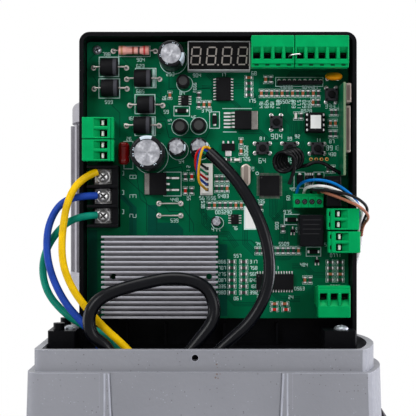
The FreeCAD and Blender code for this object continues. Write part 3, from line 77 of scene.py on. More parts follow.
class Skin:
    """Surfaces gathered into one mesh, each with its finish. Board skins take their points as u, v, h."""

    def __init__(self, on_board=True):
        self.on_board = on_board
        self.points, self.loops, self.sizes, self.marks, self.smooth, self.ways = [], [], [], [], [], []
        self.total, self.finishes = 0, []

    def add(self, points, faces, finish, smooth=True, way=None):
        """Adds a surface: points, corner numbers of its faces, and how it looks."""
        points, faces = np.asarray(points, float).reshape(-1, 3), np.asarray(faces, int)
        if finish not in self.finishes:
            self.finishes.append(finish)
        self.points.append(points)
        self.loops.append((faces + self.total).ravel())
        self.sizes.append(np.full(len(faces), faces.shape[1]))
        self.marks.append(np.full(len(faces), self.finishes.index(finish)))
        self.smooth.append(np.full(len(faces), smooth))
        self.ways.append(np.zeros_like(points) if way is None else way)
        self.total += len(points)

    def build(self, name, body="housing", replaces=None, slot=None):
        """The gathered mesh as one object that rides on a body and stands for a CAD node."""
        points = np.concatenate(self.points)
        if self.on_board:
            u, v, h = points.T
            points = np.stack([BOARD_X0 + u, BOARD_FACE - h, BOARD_Z0 + v], 1)
        sizes = np.concatenate(self.sizes)
        loops = np.concatenate(self.loops)
        mesh = bpy.data.meshes.new(name)
        mesh.vertices.add(len(points))
        mesh.vertices.foreach_set("co", (points * MM).ravel())
        mesh.loops.add(len(loops))
        mesh.loops.foreach_set("vertex_index", loops)
        mesh.polygons.add(len(sizes))
        mesh.polygons.foreach_set("loop_start", np.concatenate([[0], np.cumsum(sizes)[:-1]]))
        mesh.polygons.foreach_set("material_index", np.concatenate(self.marks))
        mesh.polygons.foreach_set("use_smooth", np.concatenate(self.smooth))
        for finish in self.finishes:
            mesh.materials.append(finish)
        ways = mesh.attributes.new(AROUND, "FLOAT_VECTOR", "POINT")
        ways.data.foreach_set("vector", np.concatenate(self.ways).ravel())
        mesh.update(calc_edges=True)
        mesh.validate()
        mesh.set_sharp_from_angle(angle=SHARP_ANGLE)
        thing = bpy.data.objects.new(name, mesh)
        bpy.context.scene.collection.objects.link(thing)
        return settle(thing, body, replaces)


def settle(thing, body, replaces):
    """Tells the frame which body the object rides on, which node it stands for."""
    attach(thing, body)
    if replaces:
        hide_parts(replaces)
    return thing


def quads(rows, columns, close_columns=False):
    """Corner numbers of the quads of a grid of points that is numbered row by row."""
    i = np.arange(rows - 1)[:, None]
    j = np.arange(columns if close_columns else columns - 1)[None, :]
    i, j = np.broadcast_arrays(i, j)
    row, below, m = i * columns, (i + 1) * columns, (j + 1) % columns
    return np.stack([row + j, below + j, below + m, row + m], -1).reshape(-1, 4)


def block(skin, finish, lo, hi, round_off=0.15, steps=3):
    """A box with rounded edges: the corners' centres c(s, t) plus r (cos p cos q, cos p sin q, sin p)."""
    lo, hi = np.asarray(lo, float), np.asarray(hi, float)
    r = min(round_off, 0.499 * (hi - lo).min())
    quarter = np.linspace(0, math.pi / 2, steps + 1)
    q = np.concatenate([quarter + k * math.pi / 2 for k in range(4)])
    p = np.concatenate([quarter - math.pi / 2, quarter])
    corner = np.repeat(np.arange(4), steps + 1)
    x = np.where((corner == 0) | (corner == 3), hi[0] - r, lo[0] + r)
    y = np.where(corner < 2, hi[1] - r, lo[1] + r)
    z = np.where(np.arange(len(p)) > steps, hi[2] - r, lo[2] + r)
    points = np.stack([x[None, :] + r * np.cos(p)[:, None] * np.cos(q),
                       y[None, :] + r * np.cos(p)[:, None] * np.sin(q),
                       np.broadcast_to((z + r * np.sin(p))[:, None], (len(p), len(q)))], -1)
    faces = quads(len(p), len(q), close_columns=True)[:, ::-1]
    row, column = np.divmod(np.arange(len(faces)), len(q))
    flat = (row == steps) & (column % (steps + 1) == steps)
    skin.add(points, faces[~flat], finish)
    skin.add(points, faces[flat], finish, False)
    n = len(q)
    ends = np.arange(4) * (steps + 1)
    caps = np.stack([ends[::-1], ends + (len(p) - 1) * n])
    skin.add(points, caps, finish, False)


def lathe(skin, finish, centre, profile, turns=32, axis=(0, 0, 1), around=None):
    """A surface of revolution: centre + a h + r (b cos t + c sin t), with a profile of (r, h) points.

    around, an angle, marks each point with the direction (cos, sin) of t from that angle.
    """
    profile = np.asarray(profile, float)
    a, b, c = frame_of(axis)
    t = np.arange(turns) * 2 * math.pi / turns
    ring = np.cos(t)[:, None] * b + np.sin(t)[:, None] * c
    points = np.asarray(centre, float) + profile[:, 1, None, None] * a + profile[:, 0, None, None] * ring
    way = None
    if around is not None:
        t = t + math.radians(around)
        way = np.tile(np.stack([np.cos(t), np.sin(t), 0 * t], 1), (len(profile), 1))
    skin.add(points, quads(len(profile), turns, close_columns=True)[:, ::-1], finish, way=way)


def frame_of(axis):
    """Three square directions, the first along the axis."""
    a = np.asarray(axis, float) / np.linalg.norm(axis)
    b = np.cross((0, 1, 0) if abs(a[1]) < 0.9 else (1, 0, 0), a)
    b /= np.linalg.norm(b)
    return a, b, np.cross(a, b)


def spline(points, samples=12):
    """A clamped quadratic spline through the control points' middles, as a list of points."""
    points = np.asarray(points, float)
    middles = (points[:-1] + points[1:]) / 2
    stops = np.concatenate([points[:1], middles[1:-1], points[-1:]])
    t = np.linspace(0, 1, samples, endpoint=False)[:, None]
    runs = [(1 - t) ** 2 * a + 2 * t * (1 - t) * m + t ** 2 * b
            for a, m, b in zip(stops[:-1], points[1:-1], stops[1:])]
    return np.concatenate(runs + [points[-1:]])


def tube(skin, finish, path, radius, turns=10):
    """A round bar along a path: p(s) + r (b(s) cos t + c(s) sin t), its frame carried along without twist."""
    path = np.asarray(path, float)
    along = np.gradient(path, axis=0)
    along /= np.linalg.norm(along, axis=1)[:, None]
    b = [frame_of(along[0])[1]]
    for a in along[1:]:
        side = b[-1] - a * b[-1].dot(a)
        b.append(side / np.linalg.norm(side))
    b = np.asarray(b)
    c = np.cross(along, b)
    t = np.arange(turns) * 2 * math.pi / turns
    ring = np.cos(t)[None, :, None] * b[:, None] + np.sin(t)[None, :, None] * c[:, None]
    points = path[:, None] + radius * ring
    skin.add(points, quads(len(path), turns, close_columns=True)[:, ::-1], finish)
    last = (len(path) - 1) * turns
    skin.add(points, [np.arange(turns)[::-1], last + np.arange(turns)], finish, False)


# Materials


class Paint:
    """A material that is built node by node around one Principled shader."""

    def __init__(self, name, roughness=0.5, metallic=0.0):
        self.material = bpy.data.materials.new(name)
        self.material.use_nodes = True
        self.tree = self.material.node_tree
        self.shader = self.tree.nodes["Principled BSDF"]
        self.put("Roughness", roughness)
        self.put("Metallic", metallic)
        self.place = self.tree.nodes.new("ShaderNodeTexCoord").outputs["Object"]

    def put(self, socket, value):
        """Sets a socket of the shader to a constant, or links an output to it."""
        self.feed(self.shader.inputs[socket], value)

    def feed(self, socket, value):
        """Sets any socket to a constant, or links an output to it."""
        if isinstance(value, bpy.types.NodeSocket):
            self.tree.links.new(value, socket)
        else:
            socket.default_value = value

    def noise(self, scale, detail=2.0):
        """Cloudy noise over the place in the object."""
        node = self.tree.nodes.new("ShaderNodeTexNoise")
        self.feed(node.inputs["Vector"], self.place)
        node.inputs["Scale"].default_value = scale
        node.inputs["Detail"].default_value = detail
        return node.outputs["Fac"]

    def cells(self, scale):
        """The distance to the nearest of scattered points."""
        node = self.tree.nodes.new("ShaderNodeTexVoronoi")
        self.feed(node.inputs["Vector"], self.place)
        node.inputs["Scale"].default_value = scale
        return node.outputs["Distance"]

    def ramp(self, factor, *stops):
        """A colour for each value of the factor, from (place, colour) stops."""
        node = self.tree.nodes.new("ShaderNodeValToRGB")
        self.feed(node.inputs["Fac"], factor)
        marks = node.color_ramp.elements
        while len(marks) < len(stops):
            marks.new(0.5)
        for mark, (at, colour) in zip(marks, stops):
            mark.position = at
            mark.color = colour
        return node.outputs["Color"]

    def mix(self, factor, first, second):
        """The first colour, or the second where the factor is 1."""
        node = self.tree.nodes.new("ShaderNodeMix")
        node.data_type = "RGBA"
        self.feed(node.inputs["Factor"], factor)
        self.feed(node.inputs["A"], first)
        self.feed(node.inputs["B"], second)
        return node.outputs["Result"]

    def calc(self, operation, first, second, third=0.5):
        """A math node; the third value is the reach of a comparison."""
        node = self.tree.nodes.new("ShaderNodeMath")
        node.operation = operation
        for socket, value in zip(node.inputs, (first, second, third)):
            self.feed(socket, value)
        return node.outputs["Value"]

    def stretch(self, factor, low, high, start=0.3, end=0.7):
        """The factor moved to the range low to high."""
        node = self.tree.nodes.new("ShaderNodeMapRange")
        self.feed(node.inputs["Value"], factor)
        for name, value in (("From Min", start), ("From Max", end), ("To Min", low), ("To Max", high)):
            node.inputs[name].default_value = value
        return node.outputs["Result"]

    def axis(self, name):
        """The place in the object along X, Y or Z."""
        node = self.tree.nodes.new("ShaderNodeSeparateXYZ")
        self.feed(node.inputs["Vector"], self.place)
        return node.outputs[name]

    def near(self, axis, place, reach):
        """1 where the object's place along an axis is within a reach, else 0."""
        return self.calc("COMPARE", self.axis(axis), place * MM, reach * MM)

    def edge(self, radius):
        """How far the surface turns within a radius: 0 on a flat face, more beside an edge."""
        bevel = self.tree.nodes.new("ShaderNodeBevel")
        bevel.samples = 8
        bevel.inputs["Radius"].default_value = radius
        flat = self.tree.nodes.new("ShaderNodeNewGeometry")
        node = self.tree.nodes.new("ShaderNodeVectorMath")
        node.operation = "DOT_PRODUCT"
        self.feed(node.inputs[0], bevel.outputs["Normal"])
        self.feed(node.inputs[1], flat.outputs["Normal"])
        return self.calc("SUBTRACT", 1.0, node.outputs["Value"])

    def bump(self, height, distance, strength=1.0):
        """Relief of the given depth on the surface."""
        node = self.tree.nodes.new("ShaderNodeBump")
        self.feed(node.inputs["Height"], height)
        node.inputs["Distance"].default_value = distance
        node.inputs["Strength"].default_value = strength
        self.put("Normal", node.outputs["Normal"])


def plain(name, colour, shade=0.82, roughness=0.5, metallic=0.0, gloss=0.05, grain=900.0, relief=0.00003):
    """One colour with a cloudy darker shade, uneven gloss and a fine grain."""
    paint = Paint(name, roughness, metallic)
    paint.put("Specular IOR Level", gloss)
    dark = [c * shade for c in colour[:3]] + [1.0]
    paint.put("Base Color", paint.ramp(paint.noise(140.0, 3.0), (0.35, dark), (0.65, colour)))
    paint.put("Roughness", paint.stretch(paint.noise(260.0), roughness * 0.85, min(1.0, roughness * 1.15)))
    paint.bump(paint.noise(grain, 3.0), relief)
    return paint.material


# Where the paint is chipped (x, z), and the planes where the casting's solids meet, which get no painted edge
# highlight
CHIPS_AT = (4.0, 130.6)
SEAMS = (("Z", 112.0), ("Y", -85.0), ("Y", 77.0))
SEAM_REACH = 1.5


def cast_paint():
    """Grey paint on a casting: fine orange peel, sparse dark specks, pale specks that are painted glints, a
    few chips, and painted highlights along the edges.
    """
    paint = Paint("cast_paint", 0.42)
    paint.put("Specular IOR Level", 0.12)
    colour = paint.ramp(paint.noise(18.0, 4.0), (0.3, srgb(130, 131, 137)), (0.7, srgb(140, 141, 147)))
    # Dark specks first, then pale specks that are painted glints off the orange peel
    for scale, share, tint in ((470.0, 0.5, srgb(86, 82, 86)), (640.0, 0.55, srgb(172, 178, 188))):
        sparse = paint.stretch(paint.noise(scale * 0.23, 1.0), 0.0, 1.0, share, share + 0.04)
        dots = paint.stretch(paint.cells(scale), 0.85, 0.0, 0.06, 0.16)
        colour = paint.mix(paint.calc("MULTIPLY", sparse, dots), colour, tint)
    chipped = paint.calc("MULTIPLY", paint.near("X", CHIPS_AT[0], 1.6), paint.near("Z", CHIPS_AT[1], 3.2))
    chips_here = paint.calc("MULTIPLY", chipped, paint.stretch(paint.cells(560.0), 1.0, 0.0, 0.22, 0.3))
    colour = paint.mix(chips_here, colour, srgb(112, 98, 92))
    # Painted highlight: the colour turns pale grey where the surface bends round an edge, as if the rounded
    # edges caught the light
    turned = paint.edge(0.0008)
    for axis, place in SEAMS:
        away = paint.calc("SUBTRACT", 1.0, paint.near(axis, place, SEAM_REACH))
        turned = paint.calc("MULTIPLY", turned, away)
    colour = paint.mix(paint.stretch(turned, 0.0, 0.7, 0.02, 0.25), colour, srgb(182, 184, 194))
    paint.put("Base Color", colour)
    paint.put("Roughness", paint.stretch(paint.noise(300.0), 0.34, 0.5))
    paint.bump(paint.noise(430.0, 2.0), 0.00022, 0.7)
    return paint.material


def solder_mask():
    """Green lacquer with a cloudy shade."""
    paint = Paint("solder_mask", 0.34)
    paint.put("Specular IOR Level", 0.04)
    cloud = paint.noise(60.0, 3.0)
    paint.put("Base Color", paint.ramp(cloud, (0.35, srgb(0, 88, 54)), (0.65, srgb(0, 100, 66))))
    paint.put("Roughness", paint.stretch(paint.noise(400.0), 0.3, 0.42))
    paint.bump(paint.noise(1500.0), 0.00002)
    return paint.material


# The heat sink's fins: front edge, lowest fin and pitch
FIN_FRONT = BOARD_FACE - 12.5
FIN_Z0 = BOARD_Z0 + 1.0
FIN_PITCH = 2.4


def fin_alloy():
    """Extruded aluminium with painted light: a painted highlight along the upper part of the fins' front
    edges, painted shade lower down and between them.
    """
    paint = Paint("fin_alloy", 0.36, 0.4)
    front = paint.stretch(paint.axis("Y"), 1.0, 0.0, FIN_FRONT * MM, (FIN_FRONT + 1.2) * MM)
    rise = paint.calc("MODULO", paint.calc("SUBTRACT", paint.axis("Z"), FIN_Z0 * MM), FIN_PITCH * MM)
    crown = paint.stretch(rise, 0.0, 1.0, 0.2 * MM, 0.6 * MM)
    grain = paint.stretch(paint.noise(700.0, 3.0), -0.12, 0.12)
    # Painted highlight on the upper part of each fin's front edge; painted shade lower down and behind it
    painted_light = paint.calc("ADD", paint.calc("MULTIPLY", front, crown), grain)
    paint.put("Base Color", paint.ramp(painted_light, (0.0, srgb(136, 134, 141)), (0.6, srgb(146, 145, 152)),
                                       (1.0, srgb(178, 180, 188))))
    paint.put("Roughness", paint.stretch(paint.noise(300.0), 0.3, 0.44))
    paint.bump(paint.noise(900.0, 3.0), 0.00003)
    return paint.material


def sheath(name, colour, roughness=0.4, gloss=0.1):
    """The sheath of a wire: one colour with a fine grain."""
    return plain(name, colour, 0.75, roughness, gloss=gloss, grain=1400.0, relief=0.00003)


def frame_finishes():
    """A finish for each of the record's material slots, for the CAD nodes that stay in view."""
    return {
        "cast_grey": cast_paint(),
        "cast_alloy": plain("cast_alloy", srgb(176, 178, 180), 0.88, 0.5, 0.85, grain=420.0, relief=0.0001),
        "motor_alloy": plain("motor_alloy", srgb(158, 156, 162), 0.9, 0.42, 0.5, grain=500.0),
        "steel": plain("steel", srgb(150, 152, 156), 0.8, 0.32, 1.0, grain=500.0),
        "zinc": plain("zinc_plate", srgb(172, 177, 184), 0.93, 0.36, 0.7, 0.3, grain=700.0, relief=0.00001),
        # Pale grey that paints the highlight along the crests of the front panel's beads
        "painted_edge_highlight": plain("painted_edge_highlight", srgb(176, 178, 188), 0.86, 0.4, grain=420.0, relief=0.0001),
        "lamination": plain("laminations", srgb(120, 122, 126), 0.7, 0.45, 0.9),
        "copper": plain("copper_wire", srgb(186, 100, 52), 0.7, 0.3, 0.9),
        "bronze": plain("bronze", srgb(190, 146, 82), 0.8, 0.34, 0.95),
        "seal_rubber": plain("seal_rubber", srgb(28, 28, 30), 0.75, 0.62),
        "black_plastic": plain("black_moulding", srgb(11, 11, 14), 0.8, 0.34, grain=1100.0, relief=0.00004),
        "dark_plastic": plain("dark_moulding", srgb(44, 41, 48), 0.8, 0.45),
        "board_green": solder_mask(),
        "heat_sink": fin_alloy(),
        "plug_green": plain("plug_moulding", srgb(0, 158, 88), 0.85, 0.36),
        "display": plain("display_case", srgb(20, 20, 22), 0.8, 0.3),
        "sleeve_black": plain("shrink_sleeve", srgb(16, 17, 21), 0.7, 0.3, gloss=0.12),
        "ferrite": plain("ferrite", srgb(20, 20, 22), 0.7, 0.5),
        "epoxy": plain("epoxy", srgb(20, 20, 22), 0.75, 0.5),
        "resistor": plain("resistor_coat", srgb(222, 156, 146), 0.9, 0.4),
        "coated": plain("dipped_coat", srgb(112, 8, 8), 0.8, 0.25),
        "chip_parts": plain("chip_parts", srgb(60, 54, 50)),
        "tinned": plain("tinned", srgb(206, 205, 205), 0.85, 0.3, 0.75, 0.3),
        "switch": plain("switch_body", srgb(58, 58, 62), 0.8, 0.42),
        "button": plain("button_cap", srgb(16, 16, 18), 0.8, 0.4),
        "relay": plain("relay_case", srgb(14, 15, 18), 0.8, 0.3),
        "header_white": plain("white_moulding", srgb(228, 228, 222), 0.93),
        "wire_yellow": sheath("yellow_wire", srgb(230, 186, 0)),
        "wire_blue": sheath("blue_wire", srgb(28, 66, 160)),
        "wire_green": sheath("green_wire", srgb(0, 128, 106)),
        "cable_black": sheath("black_cable", srgb(5, 6, 11), 0.24, 0.12),
        "leads": plain("grey_lead", srgb(150, 150, 150)),
        "antenna": sheath("antenna_wire", srgb(5, 5, 8), 0.24, 0.13),
    }


# Nodes that show another finish than their own
PAINTED_OVER = {"gear_cover": "cast_grey"}


def paint_frame(frame, finishes):
    """Each node in its record's finish; the gear cover is painted over with the housing."""
    slots = {s["node"]: s["material_slot"] for s in frame["record"]["subparts"]}
    slots.update(PAINTED_OVER)
    for name, node in frame["nodes"].items():
        for slot in node.material_slots:
            slot.material = finishes[slots[name]]


# Front panel

# Front wall at the step, the step's height, the panel's foot, the wall's slope
WALL_FRONT, STEP_Z, PANEL_Z0, DRAFT = -96.0, 130.0, 16.0, math.tan(math.radians(1.7))
PANEL_EDGES, PANEL_FLARE, PANEL_FLOOR = (-46.2, 35.5), 0.05, -0.5
# Half of the panel's section: reach from its side edge and height over the wall; the other half mirrors it
PANEL_SECTION = [(-2.4, -0.3), (-2.2, 0.04), (-0.2, 0.04), (0.0, 0.26), (0.35, 0.3), (0.6, 0.06), (1.5, 0.0),
                 (1.75, 0.28), (2.2, 0.34), (2.4, 0.1), (2.5, -0.8), (2.7, -0.8), (2.8, -0.58),
                 (2.95, PANEL_FLOOR)]


def panel_line(z):
    """The panel's section at one height: inner edges lean in by the flare, all of it follows the draft."""
    lean = [PANEL_FLARE * (STEP_Z - z) if reach > 1.0 else 0.0 for reach, _ in PANEL_SECTION]
    sides = [[(edge + way * (reach + more), rise) for (reach, rise), more in zip(PANEL_SECTION, lean)]
             for edge, way in zip(PANEL_EDGES, (1, -1))]
    wall = WALL_FRONT - (STEP_Z - z) * DRAFT
    return [(x, wall - rise, z) for x, rise in sides[0] + sides[1][::-1]]


def front_panel(finishes):
    """The beaded edges and the face of the sunk panel, drawn from the step down to the panel's foot; the
    beads' crests carry a painted highlight.
    """
    skin = Skin(on_board=False)
    heights = np.linspace(PANEL_Z0 + 1.0, STEP_Z - 0.05, 5)
    lines = np.array([panel_line(z) for z in heights])
    rise = np.array([rise for _, rise in PANEL_SECTION])
    crest = np.concatenate([rise, rise[::-1]]) > 0.2
    faces = quads(*lines.shape[:2])[:, ::-1]
    # The faces on the beads' crests are drawn in the painted highlight
    painted_highlight_faces = crest[faces % lines.shape[1]].any(1)
    skin.add(lines, faces[~painted_highlight_faces], finishes["cast_grey"])
    skin.add(lines, faces[painted_highlight_faces], finishes["painted_edge_highlight"])
    foot = lines[0] * (1, 0, 1) + (0, WALL_FRONT - (STEP_Z - PANEL_Z0) * DRAFT + 1.4, 0)
    skin.add(np.concatenate([lines[0], foot]), quads(2, lines.shape[1]), finishes["cast_grey"], False)
    skin.build("front_panel_face", slot="cast_grey")


# Cords: each route is the list of points that the CAD tube follows

MOTOR_WIRE_D, POWER_D, SIGNAL_D, LEAD_D, SENSOR_D, SHEATH_D, ANTENNA_D = 3.5, 6.0, 5.6, 1.2, 1.4, 3.6, 1.8
MOTOR_WIRE_U = [(-53.0, -60.4, 220.6), (-60.0, -64.4, 217.6), (-66.0, -68.4, 207.5), (-68.2, -70.8, 192.0),
                (-68.0, -72.6, 178.0), (-63.6, -74.6, 167.0), (-57.4, -76.6, 158.5), (-48.6, -79.0, 149.0),
                (-38.4, -81.0, 140.5), (-31.4, -81.5, 132.5), (-30.0, -81.5, 122.0)]
MOTOR_WIRE_V = [(-53.0, -60.4, 209.3), (-61.0, -63.6, 209.2), (-70.0, -63.6, 206.0), (-75.4, -65.2, 196.0),
                (-76.2, -67.2, 184.0), (-73.6, -69.0, 172.0), (-67.0, -72.0, 159.5), (-59.0, -74.6, 151.0),
                (-51.6, -76.4, 143.0), (-47.6, -76.2, 133.0), (-47.0, -76.0, 122.0)]
MOTOR_WIRE_W = [(-53.0, -60.4, 200.0), (-61.0, -63.6, 199.6), (-69.6, -62.0, 194.8), (-77.0, -60.6, 184.6),
                (-79.2, -61.0, 174.0), (-76.2, -64.0, 163.2), (-68.6, -67.2, 154.8), (-59.6, -69.6, 148.8),
                (-48.4, -71.2, 144.6), (-40.2, -76.4, 137.5), (-38.2, -78.0, 122.0)]
POWER_LOOP = [(-43.0, -84.5, 122.0), (-43.2, -84.6, 134.0), (-46.4, -84.8, 141.0), (-53.6, -85.2, 145.5),
              (-54.4, -85.2, 156.5), (-47.5, -83.6, 164.0), (-32.0, -81.0, 168.6), (-14.0, -79.6, 172.0),
              (0.5, -79.6, 167.6), (4.2, -81.4, 153.5), (-5.0, -83.4, 142.0), (-12.6, -84.0, 133.0),
              (-14.0, -84.0, 122.0)]
SIGNAL_CABLE = [(0.6, -68.4, 229.6), (9.4, -72.4, 221.4), (18.6, -75.6, 208.6), (25.4, -77.8, 194.6),
                (28.6, -79.6, 180.0), (27.6, -80.4, 165.6), (20.0, -81.4, 151.6), (10.0, -83.0, 143.0),
                (1.0, -84.0, 134.6), (-3.0, -84.0, 122.0)]


def cord(name, points, diameter, finish, node):
    """A cord that leaves the object at its first point and goes back into it at its last."""
    curve = bpy.data.curves.new(name, "CURVE")
    curve.dimensions = "3D"
    line = curve.splines.new("NURBS")
    line.points.add(len(points) - 1)
    for knot, point in zip(line.points, points):
        knot.co = [c * MM for c in point] + [1.0]
    line.order_u = 3
    line.use_endpoint_u = True
    line.resolution_u = 8
    curve.bevel_depth = diameter / 2 * MM
    curve.bevel_resolution = 5
    curve.use_fill_caps = True
    curve.materials.append(finish)
    thing = bpy.data.objects.new(name, curve)
    bpy.context.scene.collection.objects.link(thing)
    settle(thing, "housing", node)


def cords(finishes):
    """The three motor wires, the power loop and the signal cable."""
    for name, points, slot in (("motor_wire_u", MOTOR_WIRE_U, "wire_yellow"),
                               ("motor_wire_v", MOTOR_WIRE_V, "wire_blue"),
                               ("motor_wire_w", MOTOR_WIRE_W, "wire_green")):
        cord(name + "_cord", points, MOTOR_WIRE_D, finishes[slot], name)
    cord("power_loop_cord", POWER_LOOP, POWER_D, finishes["cable_black"], "power_cable_loop")
    cord("signal_cable_cord", SIGNAL_CABLE, SIGNAL_D, finishes["cable_black"], "signal_cable")


# Board details

# Sheaths of the thin leads
LEAD_COLOURS = {"red": (206, 28, 30), "white": (228, 228, 226), "brown": (164, 106, 82), "sky": (0, 116, 196),
                "black": (24, 24, 26), "leaf": (0, 140, 96), "amber": (222, 164, 30), "navy": (20, 70, 176)}


def board_finishes(finishes):
    """Finishes that only show on the board's parts."""
    finishes.update({
        "ink": plain("silk_ink", srgb(206, 240, 232), 0.88, 0.6, grain=2000.0),
        # Dark laminate where there is no copper; also paints the shadow along the board's left edge
        "bare": plain("bare_laminate_and_painted_shadow", srgb(0, 74, 58), 0.9, 0.4),
        "gap": plain("etched_gap", srgb(0, 60, 44), 0.9, 0.4),
        "trace": plain("covered_copper", srgb(0, 112, 74), 0.9, 0.34),
        "gold": plain("gilt_pad", srgb(204, 150, 84), 0.85, 0.32, 0.9),
        # Near-black that paints the shade in holes, wells and slots; it also colours dark seams and rivets
        "hole": plain("dark_hole", srgb(10, 12, 12), 0.8, 0.7),
        "can_top": can_top_finish(),
        "crystal": plain("crystal_can", srgb(186, 176, 166), 0.75, 0.34, 0.7, 0.3),
        "faint_print": plain("faint_print", srgb(38, 38, 40), 0.8, 0.5),
        "lead_wire": plain("lead_wire", srgb(172, 167, 162), 0.7, 0.3, 0.85, 0.3),
        "tab": plain("mounting_tab", srgb(132, 128, 124), 0.5, 0.3, 0.85, 0.3),
        "face": plain("display_face", srgb(12, 12, 13), 0.8, 0.22),
        "segment": plain("unlit_segment", srgb(146, 139, 134), 0.92, 0.5),
        "case_edge": plain("display_edge", srgb(168, 170, 170), 0.9, 0.5),
        "brown": plain("chip_capacitor", srgb(176, 104, 70), 0.85, 0.5),
        "slate": plain("chip_resistor", srgb(66, 66, 66), 0.8, 0.45),
        "red_glass": plain("red_glass", srgb(214, 48, 40), 0.8, 0.25),
        "band": plain("cathode_band", srgb(66, 66, 72), 0.88, 0.5),
        "mark": plain("sleeve_print", srgb(196, 210, 220), 0.9, 0.5),
        "paper": plain("sticker", srgb(236, 236, 234), 0.96, 0.7),
        # Near-white that paints the highlight on the metal clamps in the side plugs' windows
        "contact": plain("contact_painted_highlight", srgb(244, 244, 240), 0.95, 0.35),
        "lens": plain("lamp_lens", srgb(226, 224, 214), 0.9, 0.3),
        "orange": plain("dipped_disc", srgb(226, 144, 18), 0.84, 0.3),
        "film": plain("dipped_film", srgb(108, 2, 2), 0.7, 0.22, gloss=0.2),
        "can_wall": plain("can_wall", srgb(136, 124, 116), 0.8, 0.4, 0.3),
        "brown_dark": plain("can_core", srgb(92, 78, 74), 0.8, 0.4),
        "bare_edge": plain("laminate_edge", srgb(112, 134, 104), 0.85, 0.6),
    })
    for name, colour in LEAD_COLOURS.items():
        finishes["wire_" + name] = sheath(name + "_lead", srgb(*colour))


def can_top_finish():
    """Turned aluminium with a painted highlight: four bright wedges on each top, where the way round is near
    45 or 135 degrees.
    """
    paint = Paint("can_top", 0.4, 0.25)
    round_top = paint.tree.nodes.new("ShaderNodeAttribute")
    round_top.attribute_name = AROUND
    split = paint.tree.nodes.new("ShaderNodeSeparateXYZ")
    paint.feed(split.inputs["Vector"], round_top.outputs["Vector"])
    # Painted highlight: the wedges are where turned metal would catch the light
    highlight_wedge = paint.calc("ABSOLUTE", paint.calc("MULTIPLY", split.outputs["X"], split.outputs["Y"]), 0.0)
    scratches = paint.stretch(paint.noise(700.0, 5.0), -0.25, 0.35)
    highlight_wedge = paint.calc("ADD", paint.stretch(highlight_wedge, 0.05, 0.5, 0.08, 0.48), scratches)
    paint.put("Base Color", paint.ramp(highlight_wedge, (0.0, srgb(126, 127, 133)), (0.45, srgb(156, 157, 163)),
                                       (1.0, srgb(222, 222, 228))))
    paint.put("Roughness", paint.stretch(paint.noise(300.0), 0.3, 0.5))
    paint.bump(paint.noise(900.0, 3.0), 0.00005)
    return paint.material


def strip(skin, finish, points, width, height):
    """A flat line along points (u, v): each point moved sideways by half the width along its mitre."""
    points = np.asarray(points, float)
    closed = np.allclose(points[0], points[-1])
    way = np.diff(points, axis=0)
    way /= np.linalg.norm(way, axis=1)[:, None]
    before = np.concatenate([way[-1:] if closed else way[:1], way])
    after = np.concatenate([way, way[:1] if closed else way[-1:]])
    mitre = before + after
    mitre /= np.maximum(np.linalg.norm(mitre, axis=1), 0.3)[:, None]
    reach = width / 2 / np.maximum((mitre * after).sum(1), 0.4)
    side = np.stack([-mitre[:, 1], mitre[:, 0]], 1) * reach[:, None]
    flat = np.stack([points + side, points - side], 1).reshape(-1, 2)
    faces = quads(len(points), 2)[:, ::-1]
    skin.add(np.column_stack([flat, np.full(len(flat), height)]), faces, finish, False)


def frame_line(skin, finish, u0, u1, v0, v1, width, height):
    """The outline of a rectangle as a flat line."""
    strip(skin, finish, [(u0, v0), (u1, v0), (u1, v1), (u0, v1), (u0, v0)], width, height)


def ring_line(skin, finish, u, v, radius, width, height):
    """A circle as a flat line."""
    a = np.radians(np.linspace(0.0, 360.0, 41))
    strip(skin, finish, np.stack([u + radius * np.cos(a), v + radius * np.sin(a)], 1), width, height)


def patch(skin, finish, u0, u1, v0, v1, height):
    """A flat rectangle that faces away from the board."""
    corners = [(u0, v0, height), (u1, v0, height), (u1, v1, height), (u0, v1, height)]
    skin.add(corners, [(0, 1, 2, 3)], finish, False)


# Heights of ink, etched lines and pads over the board's face, and the width of an inked line
INK_H, TRACE_H, PAD_H, INK_WIDE = 0.045, 0.02, 0.06, 0.3
# Print on a part stands this far out of its surface
PRINT_LIFT = 0.02


def pad(skin, f, u, v, radius=1.0, hole=0.45, metal="tinned"):
    """A soldered ring round a hole, doming a little; the hole is a shallow dark dish that paints its shade.
    """
    lathe(skin, f[metal], (u, v, 0), [(radius, 0), (radius, 0.03), (radius * 0.9, PAD_H), (hole, PAD_H)], 16)
    lathe(skin, f["hole"], (u, v, 0), [(hole, PAD_H), (hole * 0.9, 0.01), (0.001, 0.01)], 16)


def solder(skin, f, u, v, radius, height):
    """A cone of solder round a lead: r(h) falls off as a quarter circle."""
    a = np.linspace(0, math.pi / 2, 6)
    profile = np.stack([radius * (1 - 0.75 * np.sin(a)), 0.02 + height * (1 - np.cos(a))], 1)
    lathe(skin, f["tinned"], (u, v, 0), np.concatenate([profile, [(0.001, height)]]), 14)


# Axial parts: middle u and v, body length and radius, height of the axis, lead span; wire links: u0, u1, v
DIODES = [(11.2, 122.0), (11.5, 111.8), (27.4, 116.5), (28.9, 103.7), (27.2, 93.8)]
DIODE_LONG, DIODE_R, DIODE_H, DIODE_SPAN = 8.4, 4.2, 4.4, 16.0
RESISTOR_U, RESISTOR_V, RESISTOR_H = 23.1, 130.2, 2.8
RESISTOR_LONG, RESISTOR_R, RESISTOR_SPAN = 15.0, 2.2, 20.5
LINKS = [(35.1, 45.7, 55.9), (35.1, 45.7, 50.0)]


def bent_leads(skin, f, u, v, half_body, half_span, height, radius):
    """Two leads that leave a lying body, bend over and go down into soldered pads."""
    for side in (-1, 1):
        route = [(u + side * half_body, v, height), (u + side * (half_span - 0.6), v, height),
                 (u + side * half_span, v, height - 0.4), (u + side * half_span, v, 0.0)]
        tube(skin, f["lead_wire"], spline(route, 6), radius)
        pad(skin, f, u + side * half_span, v, 1.3, metal="lead_wire")
        solder(skin, f, u + side * half_span, v, 0.95, 1.0)


